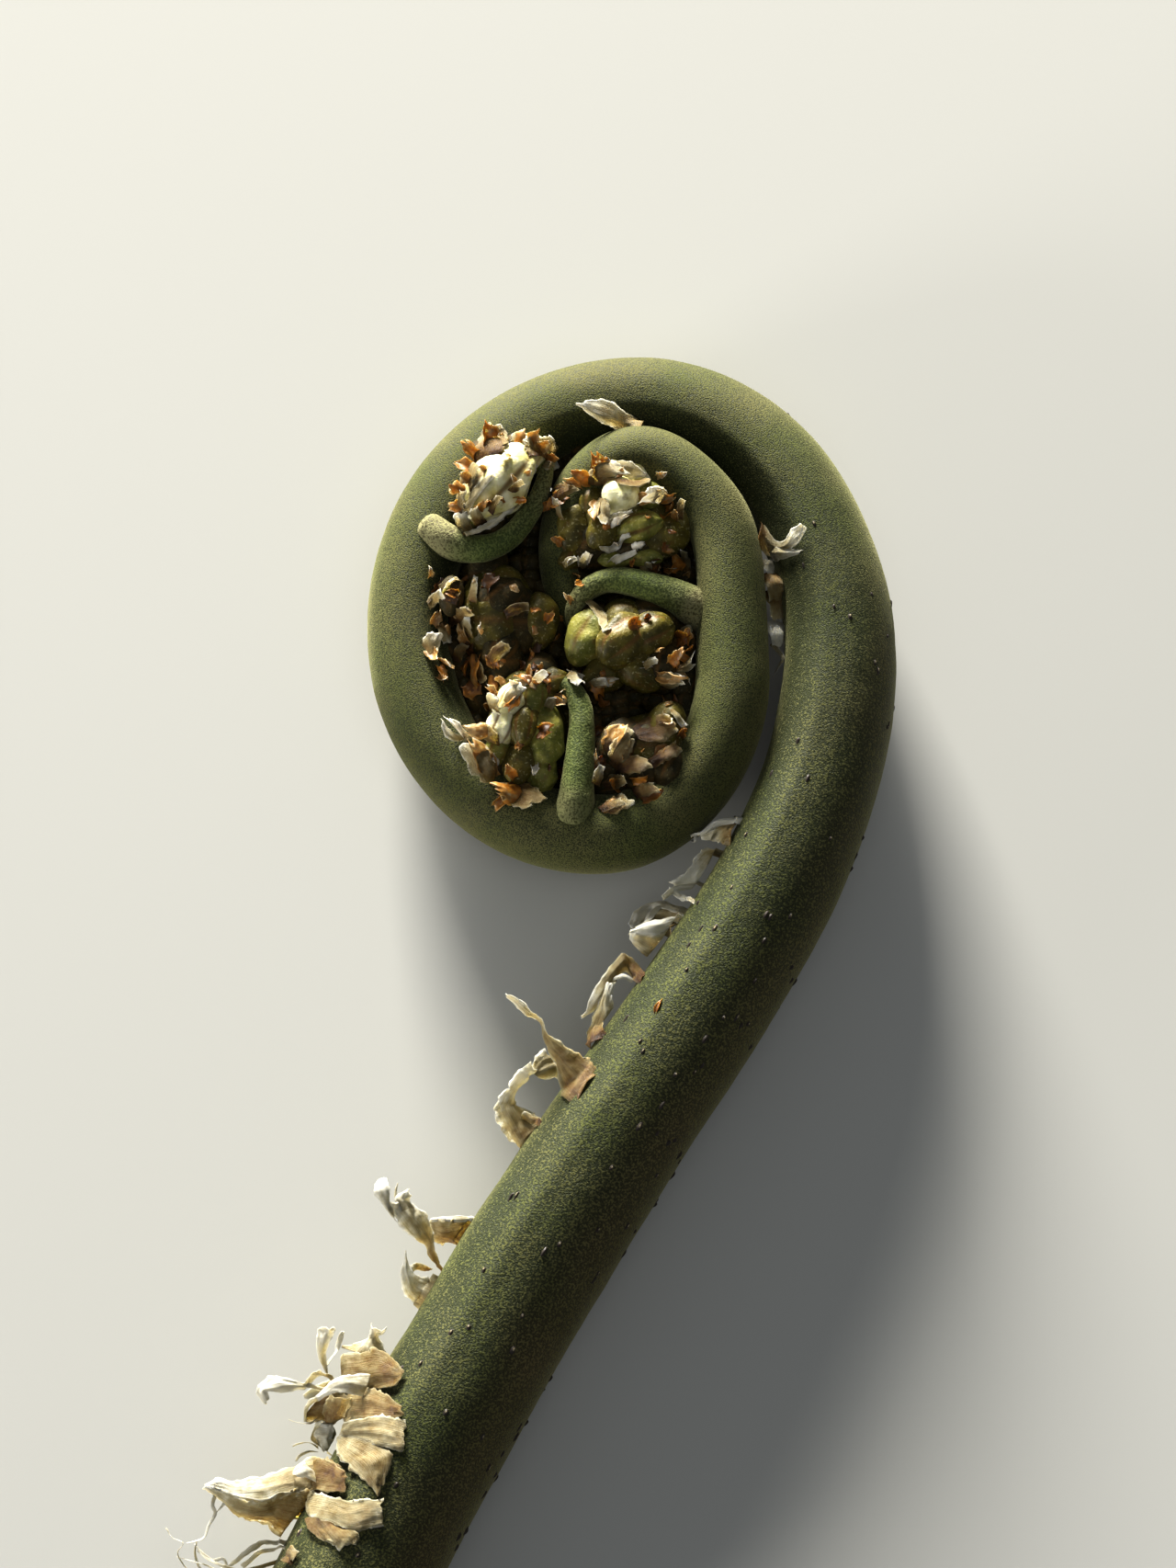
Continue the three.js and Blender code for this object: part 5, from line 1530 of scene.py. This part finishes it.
def flake(soup, root, ahead, face, length, width, curl, cup, tone, rim, seed):
    """A small curled scale with a ragged tip. tone and rim count through FLAKES from its root to its tip."""
    rows, cols = FLAKE_GRID
    side = unit(np.cross(face, ahead))
    t = np.linspace(0, 1, rows)[:, None]
    x = np.linspace(-1, 1, cols)[None]
    bend = curl * t**1.4
    steps = (np.cos(bend)[:-1] * ahead + np.sin(bend)[:-1] * face) * length / (rows - 1)
    path = root + np.cumsum(np.concatenate([[np.zeros(3)], steps]), 0)
    up = -np.sin(bend) * ahead + np.cos(bend) * face
    twist = rng.uniform(-0.8, 0.8) * t
    across = (side * np.cos(twist) + up * np.sin(twist))[:, None]
    up = (up * np.cos(twist) - side * np.sin(twist))[:, None]
    outline = np.sin(math.pi * np.clip(0.17 + 0.74 * t ** rng.uniform(0.8, 1.6), 0, 1)) ** 0.65
    half = 0.5 * width * outline * (1 + 0.34 * noise(stacked(t * 6, np.sign(x) * 9 + seed, 0), 1, seed))
    roll = max(abs(cup), 0.05)
    reach, rise = np.sin(roll * x) / roll, np.sign(cup) * (1 - np.cos(roll * x)) / roll
    points = path[:, None] + across * (half * reach)[..., None] + up * (half * rise)[..., None]
    points = points + up * (0.09 * width * noise(points, 0.9, seed))[..., None]
    tears = noise(stacked(x * 2.6 + 0 * t, seed, 0), 1, seed)
    points = points + steps[-1] * (rows - 1) * (0.22 * t**3 * tears)[..., None]
    middle, near_edge = (t[1:] + t[:-1]) / 2, np.abs((x[:, 1:] + x[:, :-1]) / 2) ** 3
    level = tone + (rim - tone) * (0.65 * middle**2 + 0.5 * near_edge * middle)
    level = np.rint(level + rng.uniform(-0.45, 0.45, (rows - 1, cols - 1)))
    leaf(soup, points, (0, 1), FLAKE_THICK, np.clip(level, 0, len(FLAKES) - 1).astype(int))


# Flakes that stand out in the photograph: pixel of the root, length and width in pixels, the way it
# points, tone and rim counted through FLAKES, and lift from the surface in degrees.
FLAKE_MARKS = [
    (534, 486, 28, 24, 100, 2, 3, 55), (522, 497, 24, 17, 135, 2, 3, 50),
    (514, 509, 20, 14, 160, 2, 4, 50), (550, 482, 17, 12, 85, 3, 5, 55),
    (563, 481, 17, 12, 65, 2, 5, 55), (576, 482, 18, 13, 52, 2, 5, 50), (586, 489, 20, 14, 40, 3, 5, 50),
    (595, 497, 15, 11, 10, 2, 4, 55), (596, 505, 12, 9, -15, 4, 5, 55),
    (507, 533, 20, 13, 172, 2, 4, 40), (503, 549, 18, 13, 190, 2, 4, 40),
    (502, 565, 16, 12, 205, 3, 5, 45), (521, 554, 17, 10, 70, 2, 4, 60), (532, 550, 18, 9, 84, 1, 3, 60),
    (545, 545, 13, 9, 95, 2, 4, 60), (561, 527, 13, 8, 120, 3, 5, 60), (512, 523, 17, 11, 150, 3, 5, 45),
    (556, 497, 12, 8, 200, 4, 5, 60), (527, 512, 12, 8, 160, 3, 5, 60), (573, 515, 12, 8, 40, 4, 5, 60),
    (655, 518, 30, 20, 112, 2, 3, 40), (643, 524, 24, 15, 150, 2, 3, 45),
    (632, 527, 20, 13, 170, 3, 5, 50), (615, 538, 26, 16, 228, 1, 2, 45),
    (606, 548, 20, 13, 200, 1, 3, 45), (651, 545, 26, 15, -82, 3, 4, 35),
    (664, 573, 22, 9, 32, 5, 5, 60), (697, 545, 27, 18, 18, 3, 5, 40), (718, 543, 18, 12, 12, 2, 4, 45),
    (731, 545, 18, 13, -62, 2, 3, 45), (673, 597, 18, 9, 62, 5, 5, 65), (688, 596, 16, 9, 22, 5, 5, 60),
    (697, 617, 14, 9, 4, 4, 5, 60), (710, 617, 14, 10, 22, 3, 5, 60), (724, 619, 14, 9, 12, 2, 5, 60),
    (739, 621, 24, 16, 92, 2, 3, 50), (747, 626, 12, 9, 70, 3, 4, 60), (622, 610, 15, 9, 162, 5, 5, 60),
    (630, 616, 15, 9, 112, 5, 5, 65), (637, 611, 15, 9, 58, 5, 5, 60), (628, 625, 15, 10, 205, 1, 4, 55),
    (634, 634, 14, 9, 240, 1, 4, 55), (672, 520, 14, 10, 60, 3, 5, 60), (664, 505, 14, 9, 100, 4, 5, 60),
    (716, 518, 14, 9, 30, 4, 5, 60), (735, 565, 16, 10, 60, 3, 4, 50), (611, 590, 14, 10, 150, 2, 3, 55),
    (650, 742, 22, 13, 5, 4, 5, 45), (634, 738, 18, 9, 152, 5, 5, 50), (708, 722, 14, 10, 200, 5, 5, 55),
    (718, 734, 28, 16, -4, 3, 5, 40), (741, 731, 22, 10, -58, 4, 5, 45),
    (725, 783, 20, 9, -45, 4, 5, 45), (731, 722, 20, 13, 62, 2, 4, 50),
    (716, 707, 16, 11, 100, 3, 4, 50), (746, 700, 16, 11, 80, 2, 4, 50),
    (622, 655, 13, 8, 130, 3, 5, 60), (612, 672, 14, 9, 160, 2, 4, 55), (611, 690, 12, 8, 200, 1, 4, 55),
    (548, 744, 15, 11, 100, 3, 5, 60), (557, 750, 16, 10, 62, 5, 5, 60), (566, 744, 14, 9, 32, 4, 5, 60),
    (575, 736, 14, 9, 82, 2, 5, 60), (590, 729, 14, 9, 112, 3, 5, 60), (597, 763, 18, 11, -8, 2, 5, 50),
    (606, 757, 14, 10, 52, 3, 5, 60), (617, 760, 13, 9, 10, 2, 5, 60), (541, 756, 15, 10, 140, 3, 5, 55),
    (533, 771, 16, 11, 160, 2, 4, 50), (582, 746, 13, 9, 80, 3, 5, 60),
    (536, 845, 44, 22, 128, 3, 5, 30), (508, 804, 30, 12, 142, 5, 5, 35),
    (536, 797, 30, 17, 168, 3, 5, 35), (541, 832, 14, 10, 100, 5, 5, 60),
    (588, 868, 52, 28, 176, 2, 3, 20), (556, 862, 26, 17, 225, 2, 3, 30),
    (662, 812, 30, 20, 48, 3, 4, 40), (676, 858, 26, 16, 150, 2, 3, 40),
    (690, 850, 22, 14, 30, 2, 3, 40), (655, 882, 28, 14, 12, 2, 4, 35), (649, 838, 24, 8, 82, 4, 5, 50),
    (583, 832, 16, 11, -88, 5, 5, 50), (700, 870, 22, 14, 20, 1, 2, 35),
    (716, 828, 20, 13, 60, 2, 3, 40), (740, 800, 18, 12, 80, 1, 3, 40),
    (560, 845, 18, 12, 120, 2, 4, 45), (714, 1101, 15, 7, 72, 1, 2, 6), (468, 628, 13, 8, 100, 4, 5, 55),
    (473, 641, 15, 10, 5, 4, 5, 50), (513, 648, 20, 10, 82, 3, 5, 50), (472, 680, 17, 11, 70, 3, 4, 45),
    (466, 706, 22, 16, -50, 3, 4, 40), (510, 700, 22, 15, 100, 3, 4, 45),
    (484, 698, 20, 14, 80, 2, 4, 45), (524, 690, 14, 7, 92, 4, 5, 55), (520, 714, 32, 15, -82, 2, 3, 30),
    (495, 671, 16, 11, 120, 2, 3, 50), (534, 735, 22, 14, -60, 2, 3, 45),
    (478, 725, 18, 12, -80, 2, 3, 45),
]
flakes = {"upper": Soup(), "lower": Soup()}


def plant(soup, spot, normal, way, length, width, tone, rim, lift, seed):
    """A flake on a surface, pointing that way and lifted off it by degrees."""
    way = unit(way - normal * (way @ normal))
    a = math.radians(lift)
    ahead = math.cos(a) * way + math.sin(a) * normal
    face = -math.sin(a) * way + math.cos(a) * normal
    curl = rng.choice([-1, 1], p=[0.62, 0.38]) * rng.uniform(0.3, 1.5)
    cup = rng.uniform(0.5, 1.7) * (1 if rng.random() < 0.8 else -1)
    flake(soup, spot - ahead * 0.3, ahead, face, length, width, curl, cup, tone, rim, seed)


for n, (px, py, length, width, angle, tone, rim, lift) in enumerate(FLAKE_MARKS):
    hit = seen(px, py)
    if hit is None:
        continue
    a = math.radians(angle)
    way = RIGHT * math.cos(a) + PICTURE_UP * math.sin(a)
    normal = unit(hit[1] + 0.8 * VIEW)
    size = 1.1 * length * PIXEL, 1.15 * width * PIXEL
    plant(flakes["upper"], hit[0], normal, way, *size, tone, rim, 0.8 * lift, 700 + n)

# Seeded flakes fill in between them, on the pods and beads and in the clefts.
SEEDED = (("upper", 1, 64), ("lower", -1, 230))
TONE_SHARES = [0.3, 0.36, 0.2, 0.14]
RIM_SHARES = [0.22, 0.38, 0.26, 0.14]
SEEDED_X = (-32, 12)
SEEDED_Y = (-30, 28)
SEEDED_HIGH = 11  # no flakes where the surface lies farther than that from the middle plane
CLEAR_OF_LIMB = 6.4
CLEAR_OF_STEMS = 1.1
limb_spots = limb.at(np.linspace(4.4, 8.2, 300))[0][:, :2]
stem_paths = [midline.at(np.linspace(0, midline.last, 60)) for midline in stems.values()]


def bud_near(spot):
    """The bud that a spot belongs to, and how far from its middle it lies as a share of its size."""
    fars = {name: math.hypot((spot[0] - b[0]) / b[3], (spot[1] - b[1]) / b[4]) for name, b in BUDS.items()}
    best = min(fars, key=fars.get)
    return fars[best], BUDS[best]


def seed_flake(soup, sign, number):
    """Tries one place for a flake, and says whether it took it."""
    x, y = rng.uniform(*SEEDED_X), rng.uniform(*SEEDED_Y)
    if not in_eye(x, y):
        return False
    spot, normal, _, _ = tree.ray_cast(Vector((x, y, FAR_OFF * sign)), DOWN * sign)
    if spot is None or abs(spot[2]) > SEEDED_HIGH:
        return False
    spot, normal = np.array(spot), np.array(normal)
    normal = normal if normal[2] * sign > 0 else -normal
    if np.linalg.norm(limb_spots - spot[:2], axis=1).min() < CLEAR_OF_LIMB:
        return False
    far, bud = bud_near(spot)
    if far > 1.25 or rng.random() > 0.35 + 0.6 * far:
        return False
    gaps = [(np.linalg.norm(path[0] - spot, axis=1) - path[3]).min() for path in stem_paths]
    if min(gaps) < CLEAR_OF_STEMS:
        return False
    outward = unit(np.array([spot[0] - bud[0], spot[1] - bud[1], 0.0]) + 1e-6)
    turn = rng.normal(0, 0.9)
    c, s = math.cos(turn), math.sin(turn)
    way = np.array([outward[0] * c - outward[1] * s, outward[0] * s + outward[1] * c, 0])
    size = rng.uniform(1.2, 3.0) * (0.9 + 0.2 * far)
    tone = int(rng.choice(4, p=TONE_SHARES))
    rim = min(5, tone + int(rng.choice(4, p=RIM_SHARES)))
    width, lift = size * rng.uniform(0.65, 1.1), rng.uniform(8, 48)
    plant(soup, spot, normal, way, size, width, tone, rim, lift, 900 + number)
    return True


for key, sign, count in SEEDED:
    made = 0
    for attempt in range(count * 6):
        if made < count and seed_flake(flakes[key], sign, attempt):
            made += 1
for key, soup in flakes.items():
    settle(mesh_object("flakes_" + key, soup, FLAKES))


# Warts of the stalk, with dark or pale tips.


def wart_look(name, shade):
    s = Shader(name)
    cloud = s.noise(1800.0, 2.0)
    base = s.mix(cloud, dimmed(shade, 0.5), shade)
    return s.finish(base, s.spread(cloud, 0.2, 0.8, 0.5, 0.8), cloud, 0.4, 0.0001)


WART_LOOKS = [wart_look("wart_dark", colour(44, 32, 20)), wart_look("wart_pale", colour(170, 156, 124))]
WART_TRIES = 300
WART_CORNERS = 8
BARE_INSIDE = 34  # degrees to each side of the groove that have no warts
FEW_INSIDE = 60  # and those that have half as many
wart_faces = [*grid_faces(3, WART_CORNERS, True)]
wart_faces += [[16 + i, 16 + (i + 1) % WART_CORNERS, 24, -1] for i in range(WART_CORNERS)]
ring = circle(WART_CORNERS)[:, None]


def wart(soup, place, degrees):
    """A low cone that leans up the stalk, with a dark or a pale tip."""
    fade = 1 - 0.35 * float(smooth(place / 3.6))
    spot = limb.surface(place, np.array(math.radians(degrees)))
    centre, ahead, _, radius, _ = limb.at(place)
    normal = unit(spot - centre)
    side = np.cross(normal, ahead)
    spot = spot + normal * float(stalk_relief(spot[None], np.array([degrees]), radius)[0])
    long, wide, high = (fade * rng.uniform(*ends) for ends in ((0.34, 0.72), (0.17, 0.33), (0.16, 0.32)))
    shape = np.cos(ring) * ahead * long + np.sin(ring) * side * wide
    lean = ahead * long * rng.uniform(0.1, 0.7)
    foot = spot + shape * 1.5 - normal * 0.1
    waist = spot + shape * 0.9 + normal * high * 0.5 + lean * 0.3
    neck = spot + shape * 0.45 + normal * high * 0.95 + lean * 0.8
    points = np.concatenate([foot, waist, neck, [spot + normal * high * 1.1 + lean]])
    tip = 1 if rng.random() < 0.5 else 0
    soup.add(points, wart_faces, [0] * 2 * WART_CORNERS + [tip] * WART_CORNERS)


warts = Soup()
for n in range(WART_TRIES):
    along = rng.uniform(4, limb.along(3.3 if n % 6 == 0 else 2.2))
    degrees = rng.uniform(-180, 180)
    if abs(degrees) < BARE_INSIDE or (abs(degrees) < FEW_INSIDE and rng.random() < 0.5):
        continue
    wart(warts, np.array(limb.place(along)), degrees)
piece = mesh_object("stalk_warts", warts, WART_LOOKS)
settle(piece)


# Floor, light and camera.

REACH_OF_FLOOR = 2  # metres to each side
floor_corners = [(x * REACH_OF_FLOOR, y * REACH_OF_FLOOR, 0) for x, y in ((-1, -1), (1, -1), (1, 1), (-1, 1))]
floor_mesh = bpy.data.meshes.new("floor")
floor_mesh.from_pydata(floor_corners, [], [(0, 1, 2, 3)])
floor = bpy.data.objects.new("floor", floor_mesh)
bpy.context.scene.collection.objects.link(floor)
floor_look = Shader("pale_floor", Roughness=0.9)
floor_look.surface.inputs["Base Color"].default_value = colour(194, 194, 190)
floor_mesh.materials.append(floor_look.material)

world = bpy.data.worlds.new("studio")
bpy.context.scene.world = world
world.use_nodes = True
world.node_tree.nodes["Background"].inputs[0].default_value = (0.92, 0.96, 1.0, 1)
world.node_tree.nodes["Background"].inputs[1].default_value = 0.19


def lamp(name, place, aim, power, size, shade):
    data = bpy.data.lights.new(name, "AREA")
    data.energy, data.size, data.color = power, size, shade
    made = bpy.data.objects.new(name, data)
    made.location = place
    made.rotation_euler = (Vector(aim) - Vector(place)).to_track_quat("-Z", "Y").to_euler()
    made.visible_camera = False
    bpy.context.scene.collection.objects.link(made)


KEY_RISE = math.radians(11)
KEY_WAY = np.array([-0.24 * math.cos(KEY_RISE), 0.97 * math.cos(KEY_RISE), math.sin(KEY_RISE)])
KEY_FAR = 2.6
middle = place_of(AIM)
rim_place = (middle[0] - 1.85, middle[1] - 0.75, 0.28)
fill_place = (middle[0] + 0.2, middle[1] - 0.5, 1.6)
lamp("key", middle + KEY_FAR * KEY_WAY, middle, power=370.0, size=0.8, shade=(1.0, 0.97, 0.9))
lamp("rim", rim_place, middle, power=34.0, size=0.6, shade=(1.0, 0.98, 0.94))
lamp("fill", fill_place, middle, power=4.0, size=1.2, shade=(0.95, 0.98, 1.0))
bpy.context.scene.view_settings.view_transform = "Standard"
bpy.context.scene.view_settings.gamma = 0.84

data = bpy.data.cameras.new("camera")
data.lens, data.sensor_width, data.sensor_fit = 100, 36, "AUTO"
data.clip_start, data.clip_end = 0.01, 20
camera = bpy.data.objects.new("camera", data)
turn = Matrix((RIGHT, PICTURE_UP, VIEW)).transposed().to_4x4()
camera.matrix_world = Matrix.Translation(Vector(place_of(EYE))) @ turn
bpy.context.scene.collection.objects.link(camera)
bpy.context.scene.camera = camera
